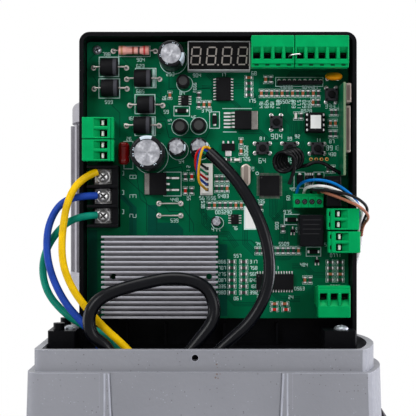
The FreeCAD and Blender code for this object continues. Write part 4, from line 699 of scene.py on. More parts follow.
def diodes(f):
    """Moulded diodes with a printed band; the leads of all axial parts and the wire links are returned."""
    bodies, leads = Skin(), Skin()
    half, r = DIODE_LONG / 2, DIODE_R
    for u, v in DIODES:
        edge = [(0.001, -half), (r - 0.5, -half), (r - 0.14, -half + 0.14), (r, -half + 0.5)]
        case, end = edge + [(r, 1.9)], [(r, 3.6)] + [(q, -x) for q, x in edge[::-1]]
        band = [(r, 1.9), (r + 0.02, 1.95), (r + 0.02, 3.55), (r, 3.6)]
        for finish, profile in (("epoxy", case), ("band", band), ("epoxy", end)):
            lathe(bodies, f[finish], (u, v, DIODE_H), profile, 40, (1, 0, 0))
        bent_leads(leads, f, u, v, half, DIODE_SPAN / 2, DIODE_H, 0.45)
    bent_leads(leads, f, RESISTOR_U, RESISTOR_V, RESISTOR_LONG / 2, RESISTOR_SPAN / 2, RESISTOR_H, 0.4)
    for u0, u1, v in LINKS:
        over = [(u0, v, 2.6), (u0 + 0.5, v, 3.0), (u1 - 0.5, v, 3.0), (u1, v, 2.6)]
        tube(leads, f["lead_wire"], spline([(u0, v, 0.0)] + over + [(u1, v, 0.0)], 6), 0.42)
        for u in (u0, u1):
            pad(leads, f, u, v, 1.3, metal="lead_wire")
            solder(leads, f, u, v, 1.0, 1.0)
    bodies.build("diode_bodies", replaces="power_diodes", slot="epoxy")
    return leads


# The resistor's painted bands: middle along the body, width, colour
BANDS = ((-5.9, 1.0, (186, 128, 84)), (-0.4, 1.0, (150, 66, 46)), (2.4, 0.9, (58, 28, 28)),
         (5.1, 0.9, (206, 40, 44)))


def resistor_coat():
    """Pink coating with four painted bands across the body."""
    paint = Paint("banded_coat", 0.4)
    body = paint.ramp(paint.noise(500.0), (0.3, srgb(222, 150, 138)), (0.7, srgb(236, 172, 160)))
    along = paint.calc("ADD", paint.axis("X"), -(BOARD_X0 + RESISTOR_U) * MM)
    for middle, wide, colour in BANDS:
        inside = paint.calc("COMPARE", along, middle * MM, wide / 2 * MM)
        body = paint.mix(inside, body, srgb(*colour))
    paint.put("Base Color", body)
    paint.bump(paint.noise(900.0), 0.00003)
    return paint.material


def resistor():
    """r(x) swells at both ends: the waist radius plus a smooth step to each end cap."""
    skin = Skin()
    half = RESISTOR_LONG / 2
    x = np.linspace(-half + 0.35, half - 0.35, 40)
    step = np.clip((np.abs(x) - half + 4.2) / 1.2, 0, 1)
    r = RESISTOR_R - 0.35 + 0.35 * step * step * (3 - 2 * step)
    end = [(0.001, -half), (1.3, -half), (1.9, -half + 0.12)]
    profile = end + list(zip(r, x)) + [(q, -d) for q, d in end[::-1]]
    lathe(skin, resistor_coat(), (RESISTOR_U, RESISTOR_V, RESISTOR_H), profile, 28, (1, 0, 0))
    skin.build("resistor_body", replaces="power_resistor", slot="resistor")


# Electrolytic capacitors: u, v, radius, height, angle of the printed stripe
CANS = [(30.6, 79.5, 8.0, 25.0, 95.0), (44.0, 82.8, 4.4, 14.0, -5.0), (54.7, 82.8, 4.4, 14.0, 8.0),
        (41.5, 126.4, 6.25, 20.0, -18.0), (63.1, 47.2, 2.5, 7.0, 80.0)]
# Short printed marks round a sleeve's shoulder: angles from its stripe
SHOULDER_MARKS = (66, 74, 90, 98, 150, 158, 206, 214, 262, 270)


def electrolytics(f):
    """Sleeved cans: rolled bead near the foot, sleeve shrunk over the shoulder, bare scored top."""
    skin = Skin()
    for u, v, r, h, stripe in CANS:
        bare, turn = 0.76 * r, 0.14 * r
        a = np.linspace(0, math.pi / 2, 5)
        shoulder = [(r - turn + turn * math.cos(t), h - turn + turn * math.sin(t)) for t in a]
        bead = [(0.9 * r, 0.0), (r, 0.3), (r, 1.5), (r - 0.35, 2.0), (r, 2.6)]
        top = [(bare, h - 0.2), (bare * 0.5, h - 0.17), (0.001, h - 0.15)]
        lathe(skin, f["sleeve_black"], (u, v, 0), bead + shoulder + [(bare, h)] + top[:1], 48)
        lathe(skin, f["can_top"], (u, v, 0), top, 48, around=stripe)
        stripe_on_sleeve(skin, f["mark"], u, v, r, h, bare, stripe)
        for mark in SHOULDER_MARKS:
            angle = math.radians(stripe + mark)
            out = np.array((math.cos(angle), math.sin(angle)))
            ends = [(u, v) + 0.78 * r * out, (u, v) + 0.86 * r * out]
            strip(skin, f["mark"], ends, 0.05 * r, h + PRINT_LIFT)
    skin.build("capacitor_cans", replaces="electrolytic_capacitors", slot="sleeve_black")


def stripe_on_sleeve(skin, finish, u, v, r, h, bare, middle):
    """The printed stripe of a sleeve: over the shoulder and down the side."""
    a = np.radians(np.linspace(middle - 22, middle + 22, 11))
    out = np.stack([np.cos(a), np.sin(a)], 1)
    turn = 0.14 * r
    shoulder = [(r - turn + turn * math.cos(t), h - turn + turn * math.sin(t))
                for t in np.linspace(1.2, 0, 4)]
    rise = [(bare + 0.04 * r, h), (r - turn, h)] + shoulder + [(r, 0.6 * h), (r, 3.0)]
    grid = [np.column_stack([(u, v) + (q + PRINT_LIFT) * out, np.full(len(a), z + PRINT_LIFT)])
            for q, z in rise]
    skin.add(np.concatenate(grid), quads(len(rise), len(a)), finish)


# Drum inductors: u, v, radius, height
DRUMS = [(45.4, 93.2, 3.5, 8.0), (54.5, 93.7, 3.5, 8.0), (47.0, 114.7, 3.2, 10.0)]


def inductors(f):
    """Sleeved drums with a dished end."""
    skin = Skin()
    for u, v, r, h in DRUMS:
        profile = [(r - 0.2, 0), (r, 0.3), (r, h - 0.7), (r - 0.2, h - 0.2), (r - 0.7, h)]
        lathe(skin, f["ferrite"], (u, v, 0), profile + [(0.66 * r, h)], 40)
        lathe(skin, f["slate"], (u, v, 0), [(0.66 * r, h), (0.62 * r, h - 0.25), (0.001, h - 0.3)], 40)
    skin.build("inductor_drums", replaces="drum_inductors", slot="ferrite")


# Chips: u0, u1, v0, v1, height, leads on each side (left and right, bottom and top), lead width
GULL_CHIPS = [(62.9, 70.1, 105.9, 117.2, 2.4, 8, 0, 0.5), (45.9, 49.6, 103.8, 108.6, 1.6, 4, 0, 0.5),
              (70.2, 74.0, 45.8, 50.6, 1.6, 4, 0, 0.45), (82.5, 100.6, 13.9, 21.6, 2.4, 0, 14, 0.5),
              (84.0, 93.9, 59.6, 69.5, 1.5, 16, 16, 0.26), (106.2, 110.4, 66.0, 69.6, 1.6, 0, 4, 0.45)]
# Leads narrower than this are bare grey metal, and wider ones are tinned
FINE_LEAD = 0.4
# Moulded diodes with a tab at each end: u0, u1, v0, v1, height
TAB_CHIPS = [(44.0, 48.4, 100.0, 102.2, 2.0), (61.0, 63.4, 94.6, 98.8, 2.0), (97.6, 102.0, 46.9, 49.1, 2.0),
             (108.4, 112.4, 31.4, 33.4, 1.8), (102.2, 105.2, 65.4, 69.8, 2.2),
             (111.6, 114.6, 65.4, 69.8, 2.2)]
# Three-legged small parts: u0, u1, v0, v1, height
SMALL_TRANSISTORS = [(99.2, 101.4, 41.8, 43.4, 1.1), (111.0, 113.2, 27.0, 28.6, 1.1)]


def flat_lead(skin, finish, start, out, width, line, thick, walls=False):
    """A strip of metal bent along (reach, height) points, with its underside, end and, if asked, walls."""
    start, out = np.asarray(start, float), np.asarray(out, float)
    side = np.array((-out[1], out[0])) * width / 2
    top = [np.append(start + out * d + side * s, z) for d, z in line for s in (1, -1)]
    under = [p - (0, 0, thick) for p in top]
    faces = quads(len(line), 2)
    skin.add(top, faces[:, ::-1], finish, False)
    skin.add(under, faces, finish, False)
    for s in (0, 1) if walls else ():
        wall = [p for a, b in zip(top[s::2], under[s::2]) for p in (a, b)]
        skin.add(wall, faces[:, ::(-1 if s else 1)], finish, False)
    skin.add([under[-1], under[-2], top[-2], top[-1]], [(0, 1, 2, 3)], finish, False)


def gull_lead(skin, finish, foot, out, rise, width):
    """A lead that leaves a chip's side halfway up, steps down and lies on its pad."""
    line = [(0.0, rise * 0.5), (0.3, rise * 0.5), (0.62, 0.18), (1.25, 0.12)]
    flat_lead(skin, finish, foot, out, width, line, 0.12)


def flat_leg(skin, f, start, out, reach, width):
    """A leg of a power part: out of the body, down and along its pad."""
    line = [(0.0, 2.4), (0.22 * reach, 2.4), (0.42 * reach, 0.4), (reach, 0.3)]
    flat_lead(skin, f["tinned"], start, out, width, line, 0.28, walls=True)


def chips(f):
    """Chips with flat leads, tabbed diodes, small transistors and the larger packages."""
    skin, legs = Skin(), Skin()
    for u0, u1, v0, v1, h, sides, ends, width in GULL_CHIPS:
        block(skin, f["epoxy"], (u0, v0, 0.12), (u1, v1, h), 0.22)
        lathe(skin, f["slate"], (u0 + 1.0, v1 - 1.0, h), [(0.38, 0.012), (0.001, 0.012)], 16)
        metal = f["tab"] if width < FINE_LEAD else f["tinned"]
        for i in range(sides):
            v = v0 + (v1 - v0) * (i + 0.5) / sides
            for u, out in ((u0, (-1, 0)), (u1, (1, 0))):
                gull_lead(legs, metal, (u, v), out, h, width)
        for i in range(ends):
            u = u0 + (u1 - u0) * (i + 0.5) / ends
            for v, out in ((v0, (0, -1)), (v1, (0, 1))):
                gull_lead(legs, metal, (u, v), out, h, width)
    for u0, u1, v0, v1, h in TAB_CHIPS:
        block(skin, f["epoxy"], (u0, v0, 0.1), (u1, v1, h), 0.25)
        lying = u1 - u0 > v1 - v0
        middle = np.array((u0 + u1, v0 + v1)) / 2
        half = np.array((0.6, 0.7) if lying else (0.7, 0.6))
        out = np.array(((u1 - u0) / 2 + 0.3, 0.0) if lying else (0.0, (v1 - v0) / 2 + 0.3))
        for at in (middle - out, middle + out):
            block(legs, f["tinned"], (*(at - half), 0.02), (*(at + half), 0.7), 0.2, 2)
    for u0, u1, v0, v1, h in SMALL_TRANSISTORS:
        block(skin, f["epoxy"], (u0, v0, 0.1), (u1, v1, h), 0.2)
        for u, v, out in ((u0 + 0.35, v0, (0, -1)), (u1 - 0.35, v0, (0, -1)), ((u0 + u1) / 2, v1, (0, 1))):
            gull_lead(legs, f["tinned"], (u, v), out, h, 0.5)
    power_transistors(skin, legs, f)
    network_and_socket(skin, legs, f)
    skin.build("chip_bodies", replaces="chip_packages", slot="epoxy")
    return legs


def power_transistors(skin, legs, f):
    """Three moulded power parts, each with its metal tab on the board and flat legs."""
    block(skin, f["epoxy"], (30.6, 60.0, 0.2), (38.8, 70.8, 4.4), 0.35)
    block(legs, f["tab"], (28.0, 60.2, 0.0), (30.8, 70.6, 1.3), 0.25)
    for v in (62.5, 68.3):
        flat_leg(legs, f, (38.8, v), (1, 0), 6.1, 0.9)
    flat_leg(legs, f, (38.8, 65.4), (1, 0), 1.5, 0.9)
    block(skin, f["epoxy"], (72.0, 91.9, 0.2), (80.1, 101.0, 4.4), 0.35)
    block(legs, f["tab"], (79.9, 91.9, 0.0), (83.3, 101.0, 1.3), 0.3)
    for i in range(5):
        flat_leg(legs, f, (72.0, 93.1 + 1.7 * i), (-1, 0), 5.3, 0.8)
    block(skin, f["epoxy"], (65.6, 81.6, 0.1), (72.1, 85.1, 1.7), 0.25)
    block(legs, f["tinned"], (67.4, 79.0, 0.02), (70.4, 81.7, 0.5), 0.15, 2)
    for u in (66.5, 68.85, 71.2):
        gull_lead(legs, f["tinned"], (u, 85.1), (0, 1), 1.7, 0.75)


def network_and_socket(skin, legs, f):
    """A standing resistor network, and a socketed chip with a bare sticker."""
    block(skin, f["epoxy"], (92.7, 113.6, 0.4), (114.4, 115.4, 6.0), 0.5)
    for i in range(9):
        pad(legs, f, 93.6 + 2.54 * i, 116.0, 0.7, 0.3)
    block(skin, f["epoxy"], (106.1, 90.2, 0.1), (115.6, 100.0, 4.0), 0.25)
    block(skin, f["epoxy"], (107.4, 90.5, 4.0), (114.3, 99.7, 7.2), 0.3)
    patch(skin, f["paper"], 108.4, 113.4, 92.0, 98.4, 7.23)
    for i in range(4):
        for u in (106.9, 114.8):
            v = 91.4 + 2.45 * i
            block(legs, f["tinned"], (u - 0.45, v - 0.55, 3.6), (u + 0.45, v + 0.55, 5.8), 0.2, 2)


# Length of a small chip part
CHIP_L = 3.2
# Rows of small chip parts: first u, v, step in u, step in v, kinds along the row, lying (long side along u)
ROWS = [(85.0, 109.6, 2.53, 0, "CRCRCRCRCRCR", False), (87.1, 116.4, 2.55, 0, "CR", False),
        (78.9, 117.3, 0, -2.83, "CRRR", True), (110.2, 105.2, 2.5, 0, "CR", False),
        (101.8, 98.6, 2.6, 0, "LR", False), (119.3, 100.3, 2.1, 0, "RR", False),
        (118.7, 95.0, 2.4, 0, "CC", False), (118.8, 89.9, 2.4, 0, "RR", False),
        (40.4, 108.7, 0, 0, "C", False), (54.5, 108.7, 0, -4.6, "RR", False),
        (57.0, 104.1, 2.6, 0, "CC", False), (75.1, 86.0, 0, -4.6, "CC", False),
        (69.0, 77.2, 4.2, 0, "RL", True), (63.3, 67.9, 2.5, 0, "RRR", False),
        (63.3, 63.2, 2.5, 0, "RRC", False), (59.6, 55.0, 2.6, 0, "RCRRRCC", False),
        (48.0, 69.0, 3.1, 0, "RD", False), (48.0, 62.1, 3.1, 0, "DR", False),
        (82.9, 32.9, 2.53, 0, "RRRRRRRRC", False), (70.6, 27.5, 0, -3.0, "RRRRRR", True),
        (76.4, 27.5, 0, -3.0, "RRRRRR", True), (118.6, 27.3, 0, -2.9, "RRCR", True),
        (123.4, 27.3, 0, -2.9, "RRCR", True), (106.2, 18.6, 2.6, 0, "CR", False),
        (91.4, 7.0, 5.0, 0, "CC", True), (91.4, 4.2, 5.6, 0, "DD", True), (95.6, 43.6, 0, 0, "R", False),
        (84.8, 54.1, 0, 0, "R", False), (117.5, 72.6, 2.6, 0, "RR", False)]
CHIP_FINISH = {"C": "brown", "R": "slate", "L": "lens", "D": "red_glass"}


def chip_row_parts():
    """Every small chip part as u, v, kind and whether it lies along u."""
    for u, v, du, dv, kinds, lying in ROWS:
        for i, kind in enumerate(kinds):
            yield u + du * i, v + dv * i, kind, lying


def small_chips(f, ink):
    """Small parts of each kind: a body between two tinned ends, with an inked bracket round each end."""
    skin = Skin()
    half = 0.95
    for u, v, kind, lying in chip_row_parts():
        def at(along, across):
            return (u + along, v + across) if lying else (u + across, v + along)

        wide, tall = (0.6, 0.75) if kind in "CL" else (0.65, 0.55)
        block(skin, f[CHIP_FINISH[kind]], (*at(-half, -wide), 0.03), (*at(half, wide), tall), 0.12, 2)
        for a0, a1 in ((-CHIP_L / 2, -half + 0.1), (half - 0.1, CHIP_L / 2)):
            lo, hi = at(a0, -wide - 0.08), at(a1, wide + 0.08)
            block(skin, f["tinned"], (*lo, 0.02), (*hi, tall + 0.02), 0.15, 2)
        for s in (-1, 1):
            bracket = [at(s * 0.8, -1.1), at(s * 2.1, -1.1), at(s * 2.1, 1.1), at(s * 0.8, 1.1)]
            strip(ink, f["ink"], bracket, 0.14, INK_H)
    skin.build("chip_part_bodies", replaces="chip_passives", slot="chip_parts")


# Terminal plugs: ways, edge they face, first corner along the edge, outer face, and where the wells begin
# and end behind that face
PLUGS = [(4, "top", 79.4, 134.9, 7.8, 11.0), (5, "top", 100.0, 134.9, 7.8, 11.0),
         (2, "left", 86.4, -0.25, 8.2, 11.9), (2, "left", 75.9, -0.25, 8.2, 11.9),
         (2, "right", 43.4, 130.1, 8.2, 11.4), (2, "right", 32.6, 130.6, 8.2, 11.4),
         (3, "bottom", 110.8, 2.1, 8.2, 11.4)]
PLUG_PITCH, PLUG_DEEP, PLUG_TOP, PLUG_WIDE_H, HEADER_H = 5.08, 14.9, 20.0, 12.9, 9.0


def plug_corner(edge, outer, along, across):
    """Board u, v of a point that lies along the plug's edge and across from its outer face."""
    return {"top": (along, outer - across), "bottom": (along, outer + across),
            "left": (outer + across, along), "right": (outer - across, along)}[edge]


def plug_block(skin, finish, edge, outer, along, across, heights, round_off=0.3):
    """A block given along and across a plug."""
    a = plug_corner(edge, outer, along[0], across[0])
    b = plug_corner(edge, outer, along[1], across[1])
    block(skin, finish, (*np.minimum(a, b), heights[0]), (*np.maximum(a, b), heights[1]), round_off)


def plug_sheet(skin, finish, edge, outer, along, line):
    """A sheet across the plug: (across, height) points drawn along it."""
    points = [(*plug_corner(edge, outer, t, a), h) for a, h in line for t in along]
    faces = quads(len(line), 2)
    turned = edge in ("top", "right")
    flip = edge in ("left", "right")
    skin.add(points, faces if turned != flip else faces[:, ::-1], finish, False)


def terminal_plugs(f):
    """Each plug: a plain panel outside, sloped wells with rounded ribs between, and a stepped inner edge."""
    skin, inside, headers = Skin(), Skin(), Skin()
    green = f["plug_green"]
    for ways, edge, start, outer, well0, well1 in PLUGS:
        end = start + ways * PLUG_PITCH - 0.1
        for across, heights in (((0, 5.6), (PLUG_WIDE_H, PLUG_TOP)),
                                ((4.2, PLUG_DEEP - 0.6), (HEADER_H, PLUG_WIDE_H + 0.2)),
                                ((well1, 13.3), (PLUG_WIDE_H, PLUG_TOP - 0.3)),
                                ((13.0, PLUG_DEEP), (PLUG_WIDE_H, PLUG_TOP - 1.2))):
            plug_block(skin, green, edge, outer, (start, end), across, heights)
        for i in range(ways + 1):
            along = start + i * PLUG_PITCH
            lo, hi = max(start, along - 0.85), min(end, along + 0.8)
            plug_block(skin, green, edge, outer, (lo, hi), (5.2, well1 + 0.4), (PLUG_WIDE_H, PLUG_TOP), 0.6)
        for i in range(ways):
            middle = start + (i + 0.5) * PLUG_PITCH - 0.05
            plug_sheet(skin, green, edge, outer, (start + i * PLUG_PITCH, start + (i + 1) * PLUG_PITCH - 0.1),
                       [(5.5, PLUG_TOP - 0.4), (well0, PLUG_TOP - 2.6), (well0, PLUG_WIDE_H)])
            # Dark blocks down the wells, dark slots and dark discs at the wire openings are painted shade
            plug_block(inside, f["hole"], edge, outer, (middle - 1.75, middle + 1.75), (well0, well1),
                       (PLUG_WIDE_H, PLUG_TOP - 5.0), 0.1)
            if edge in ("top", "right"):
                plug_block(inside, f["hole"], edge, outer, (middle - 1.0, middle + 1.0), (13.5, 14.2),
                           (PLUG_TOP - 1.6, PLUG_TOP - 1.15), 0.1)
            upright = edge in ("top", "bottom")
            # Clamps of the side plugs are drawn near-white, a painted highlight
            clamp, metal = ((0.5, 0.95, 4.0), f["slate"]) if upright else ((0.8, 2.0, 2.4), f["contact"])
            plug_block(inside, metal, edge, outer, (middle - 1.2, middle + 1.2),
                       (well0 + clamp[0], well0 + clamp[1]), (PLUG_TOP - 5.2, PLUG_TOP - clamp[2]), 0.2)
            opening = plug_corner(edge, outer, middle, 0.0)
            axis = {"top": (0, 1, 0), "bottom": (0, -1, 0), "left": (-1, 0, 0), "right": (1, 0, 0)}[edge]
            lathe(inside, f["hole"], (*opening, PLUG_TOP - 3.7), [(1.5, 0.02), (0.001, 0.02)], 24, axis)
        plug_block(headers, green, edge, outer, (start, end), (5.0, PLUG_DEEP - 1.4), (0.0, HEADER_H), 0.25)
    small_terminal(headers, f)
    headers.build("header_bodies", replaces="plug_headers", slot="plug_green")
    skin.build("plug_bodies", replaces="terminal_plugs", slot="plug_green")
    link_wire(inside, f)
    inside.build("plug_contacts", slot="tinned")


def link_wire(skin, f):
    """A bare wire from the last well of one plug over to the first well of the next."""
    route = [(97.2, 125.2, 16.0), (97.4, 125.4, 20.6), (99.0, 125.6, 21.2), (101.4, 125.9, 21.2),
             (102.6, 126.0, 20.6), (102.7, 126.0, 16.0)]
    tube(skin, f["tinned"], spline(route, 6), 0.32)


# Small screw terminal: pitch, left end, lower and upper side, height
SMALL_PITCH, SMALL_U, SMALL_V0, SMALL_V1, SMALL_H = 3.5, 99.9, 53.8, 60.6, 9.0


def small_way(i):
    """The middle of one way of the small terminal."""
    return SMALL_U + 0.25 + (i + 0.5) * SMALL_PITCH


def small_terminal(skin, f):
    """A four-way screw terminal: a screw in a round collar for each way, and a step along its upper side."""
    u1 = SMALL_U + 4 * SMALL_PITCH + 0.5
    block(skin, f["plug_green"], (SMALL_U, SMALL_V0, 0), (u1, SMALL_V1 - 1.4, SMALL_H), 0.3)
    block(skin, f["plug_green"], (SMALL_U, SMALL_V1 - 1.6, 0), (u1, SMALL_V1, SMALL_H - 1.2), 0.3)
    for i in range(4):
        u, v = small_way(i), SMALL_V0 + 2.9
        collar = [(1.6, 0.0), (1.55, 0.12), (1.4, 0.12), (1.3, 0.02)]
        lathe(skin, f["plug_green"], (u, v, SMALL_H), collar, 28)
        # A dark ring round each screw and a dark slot across its head are painted shade
        lathe(skin, f["hole"], (u, v, SMALL_H), [(1.32, 0.03), (0.9, 0.02)], 28)
        lathe(skin, f["band"], (u, v, SMALL_H), [(0.95, 0.02), (0.9, 0.05), (0.001, 0.05)], 28)
        strip(skin, f["hole"], [(u - 0.6, v - 0.6), (u + 0.6, v + 0.6)], 0.3, SMALL_H + 0.07)
        if i:
            seam = [(u - SMALL_PITCH / 2, v) for v in (SMALL_V0 + 0.2, SMALL_V1 - 1.6)]
            strip(skin, f["hole"], seam, 0.14, SMALL_H + PRINT_LIFT)


# Screws


def cross_screw(skin, finish, recess, centre, axis, radius, height, turn=20.0):
    """A pan head: h = H (0.35 + 0.65 (1 - (r/R)^3)), with a cross sunk where |x| or |y| is small and drawn in
    the darker recess finish, a painted shade.
    """
    a, b, c = frame_of(axis)
    rings, turns = np.linspace(0.02, 1, 15), 64
    t = np.arange(turns) * 2 * math.pi / turns
    x, y = rings[:, None] * np.cos(t), rings[:, None] * np.sin(t)
    near = np.minimum(np.abs(x), np.abs(y))
    sunk = np.clip((0.15 - near) / 0.05, 0, 1) * np.clip((0.62 - rings[:, None]) / 0.06, 0, 1)
    rise = 0.35 + 0.65 * (1 - (rings[:, None] ** 3) * np.ones(turns)) - 0.5 * sunk
    s = math.radians(turn)
    x, y = x * math.cos(s) - y * math.sin(s), x * math.sin(s) + y * math.cos(s)
    across = radius * (x[..., None] * b + y[..., None] * c)
    points = np.asarray(centre, float) + across + height * rise[..., None] * a
    faces = quads(len(rings), turns, close_columns=True)
    dark = (sunk.ravel()[faces] > 0.5).all(1)
    skin.add(points, faces[~dark], finish)
    skin.add(points, faces[dark], recess)
    foot = np.asarray(centre, float) + across[-1]
    skin.add(np.concatenate([points[-1], foot]), quads(2, turns, close_columns=True), finish)
    skin.add(points[0], [np.arange(turns)], recess, False)


# Screws of the board (u, v) and of the tray's foot (x, y), and the height of the foot's bosses
BOARD_SCREWS = [(5.0, 130.7), (5.0, 4.0), (122.5, 132.3), (122.5, 4.0)]
TRAY_SCREWS, BOSS_TOP = [(-64.7, -63.4), (62.8, -65.6)], 146.3


def screws(f):
    """The heads of the screws in the board and in the foot of the tray."""
    board, foot = Skin(), Skin(on_board=False)
    for u, v in BOARD_SCREWS:
        cross_screw(board, f["zinc"], f["slate"], (u, v, 0.0), (0, 0, 1), 2.2, 1.6)
    for x, y in TRAY_SCREWS:
        cross_screw(foot, f["zinc"], f["slate"], (x, y, BOSS_TOP), (0, 0, 1), 3.4, 1.8)
    board.build("board_screw_heads", replaces="tray_screws", slot="zinc")
    foot.build("foot_screw_heads", replaces="tray_screws", slot="zinc")


# Barrier block

BARRIER_U0, BARRIER_U1, BARRIER_V0, BARRIER_V1, BARRIER_WALL = 1.5, 16.3, 44.4, 74.1, 1.5
# Screws of the clamps: u, and each one's v
CLAMP_U, CLAMP_V = 9.0, (68.6, 59.25, 49.9)


def barrier(f):
    """A black block with four walls and three wire clamps, each a dished plate under a cross screw."""
    skin, metal = Skin(), Skin()
    black = f["black_plastic"]
    u0, u1, v0, v1 = BARRIER_U0, BARRIER_U1, BARRIER_V0, BARRIER_V1
    pitch = (v1 - v0 - BARRIER_WALL) / 3
    block(skin, black, (u0 + 2.5, v0, 0), (u1, v1, 9.0), 0.3)
    block(skin, black, (u1 - 3.2, v0, 0), (u1, v1, 13.0), 0.4)
    for i in range(4):
        v = v0 + i * pitch
        block(skin, black, (u0, v, 0), (u1, v + BARRIER_WALL, 15.0), 0.35)
    for v in CLAMP_V:
        clamp_plate(metal, f, v)
        cross_screw(metal, f["tinned"], f["slate"], (CLAMP_U, v, 10.6), (0, 0, 1), 2.8, 2.3, 40.0)
        lathe(metal, f["tinned"], (CLAMP_U, v, 10.3), [(3.3, 0.0), (3.3, 0.25), (2.7, 0.4)], 40)
    skin.build("barrier_body", replaces="barrier_block", slot="black_plastic")
    metal.build("barrier_plates", replaces="barrier_clamps", slot="tinned")


def clamp_plate(skin, f, v):
    """A plate with two edges curled up and two down: h = 9.6 + 1.5 s^6 - 0.5 t^6, s and t from -1 to 1."""
    u = np.linspace(4.8, 12.8, 13)
    s = np.linspace(-1, 1, 17)
    u, s = np.meshgrid(u, s, indexing="ij")
    rise = 9.6 + 1.5 * s ** 6 - 0.5 * ((u - 8.8) / 4.0) ** 6
    top = np.stack([u, v + 3.5 * s, rise], -1)
    faces = quads(13, 17)
    skin.add(top, faces, f["tinned"])
    skin.add(top - (0, 0, 0.7), faces[:, ::-1], f["tinned"])
    rim = np.concatenate([top[:, 0], top[-1, 1:], top[-2::-1, -1], top[0, -2:0:-1]])
    walls = quads(2, len(rim), close_columns=True)
    skin.add(np.concatenate([rim, rim - (0, 0, 0.7)]), walls, f["tinned"])


# Display

DIGITS, DIGIT_U, DIGIT_V, DIGIT_PITCH = 4, 53.2, 126.8, 7.45
DIGIT_WIDE, DIGIT_TALL, DIGIT_LEAN, DIGIT_STROKE = 4.2, 8.2, 0.09, 0.66
FACE_H = 8.0


def display(f):
    """A grey case with a dark face and four slanted seven-part digits with dots."""
    skin = Skin()
    block(skin, f["case_edge"], (49.2, 119.8, 0.1), (79.3, 134.0, FACE_H - 0.15), 0.15)
    block(skin, f["face"], (49.75, 120.35, FACE_H - 1.0), (78.75, 133.45, FACE_H), 0.1)
    for i in range(DIGITS):
        u = DIGIT_U + i * DIGIT_PITCH
        digit(skin, f["segment"], u, DIGIT_V, DIGIT_WIDE, DIGIT_TALL, DIGIT_STROKE, FACE_H + PRINT_LIFT,
              NUMERALS[8], 0.4)
        dot = (u + 3.2, DIGIT_V - DIGIT_TALL / 2 - 0.2, FACE_H)
        lathe(skin, f["segment"], dot, [(0.42, 0.02), (0.001, 0.02)], 14)
    skin.build("display_case", replaces="display_module", slot="display")


# The seven strokes of a numeral, as ends on a grid of two columns and three rows: top, upper right,
# lower right, bottom, lower left, upper left, middle
STROKES = {"0": ((0, 2), (1, 2)), "1": ((1, 2), (1, 1)), "2": ((1, 1), (1, 0)), "3": ((0, 0), (1, 0)),
           "4": ((0, 1), (0, 0)), "5": ((0, 2), (0, 1)), "6": ((0, 1), (1, 1))}
NUMERALS = ("012345", "12", "01643", "01623", "5612", "05623", "054326", "012", "0123456", "012356")


def digit(skin, finish, u, v, wide, tall, width, height, strokes, gap=0.0, lean=DIGIT_LEAN, turn=0):
    """A numeral of straight strokes round the point u, v; turn is in quarter turns."""
    for s in strokes:
        (a, b), (c, d) = STROKES[s]
        ends = np.array([((a - 0.5) * wide, (b - 1) * tall / 2), ((c - 0.5) * wide, (d - 1) * tall / 2)])
        ends[:, 0] += lean * ends[:, 1]
        way = (ends[1] - ends[0]) / np.linalg.norm(ends[1] - ends[0])
        ends += np.outer((1, -1), way) * gap
        for _ in range(turn):
            ends = np.stack([-ends[:, 1], ends[:, 0]], 1)
        strip(skin, finish, ends + (u, v), width, height)


# Coated capacitors


def coated_capacitors(f):
    """A dipped film capacitor with two humps, and a dipped disc on two leads."""
    skin = Skin()
    block(skin, f["film"], (15.9, 74.6, 0.8), (21.2, 85.3, 10.5), 1.9, 6)
    for v in (75.9, 84.0):
        block(skin, f["film"], (17.0, v - 1.0, 9.4), (20.1, v + 1.0, 10.9), 0.7, 4)
    a = np.linspace(-math.pi / 2, math.pi / 2, 13)
    lens = [(max(0.001, 4.2 * abs(math.cos(t)) ** 0.6), 1.5 * math.sin(t)) for t in a]
    lathe(skin, f["orange"], (119.7, 117.2, 6.2), lens, 36, (0, 0.93, 0.37))
    for u in (117.2, 122.2):
        tube(skin, f["tinned"], [(u, 117.1, 0), (u, 117.1, 3.4)], 0.35)
        pad(skin, f, u, 116.6, 0.9)
    skin.build("dipped_capacitors", replaces="coated_capacitors", slot="coated")


# Push buttons: middle u, v, and whether the legs leave the upper and lower sides
BUTTONS = {"button_learn": (119.0, 108.8, True), "button_set": (92.2, 95.4, True),
           "button_open": (85.5, 82.8, False), "button_close": (98.8, 82.8, False),
           "button_stop": (112.2, 82.6, False)}
BUTTON_R, BUTTON_TOP, SWITCH_H, BUTTON_FOOT = 1.75, 5.0, 3.5, 1.65


def push_buttons(f):
    """Square switches with a plate, four corner rivets and four soldered legs, and a round cap each."""
    skin = Skin()
    for name, (u, v, upright) in BUTTONS.items():
        block(skin, f["switch"], (u - 3, v - 3, 0.05), (u + 3, v + 3, SWITCH_H - 0.35), 0.3)
        plate_ring(skin, f["switch"], u, v)
        for a in (-1, 1):
            for b in (-1, 1):
                rivet = [(0.5, 0.0), (0.45, 0.15), (0.001, 0.2)]
                lathe(skin, f["hole"], (u + a * 2.3, v + b * 2.3, SWITCH_H), rivet, 14)
                du, dv = (2.4, 3.5) if upright else (3.6, 2.35)
                solder(skin, f, u + a * du, v + b * dv, 1.0, 1.1)
        cap, r, top = Skin(), BUTTON_R, BUTTON_TOP
        lathe(cap, f["button"], (u, v, 0), [(0.001, BUTTON_FOOT), (r, BUTTON_FOOT), (r, top - 0.3),
                                            (r - 0.1, top - 0.08), (r - 0.35, top), (0.001, top)], 32)
        cap.build(name + "_top", name + "_cap", name, "button")
    skin.build("switch_cases", replaces="switch_bodies", slot="switch")


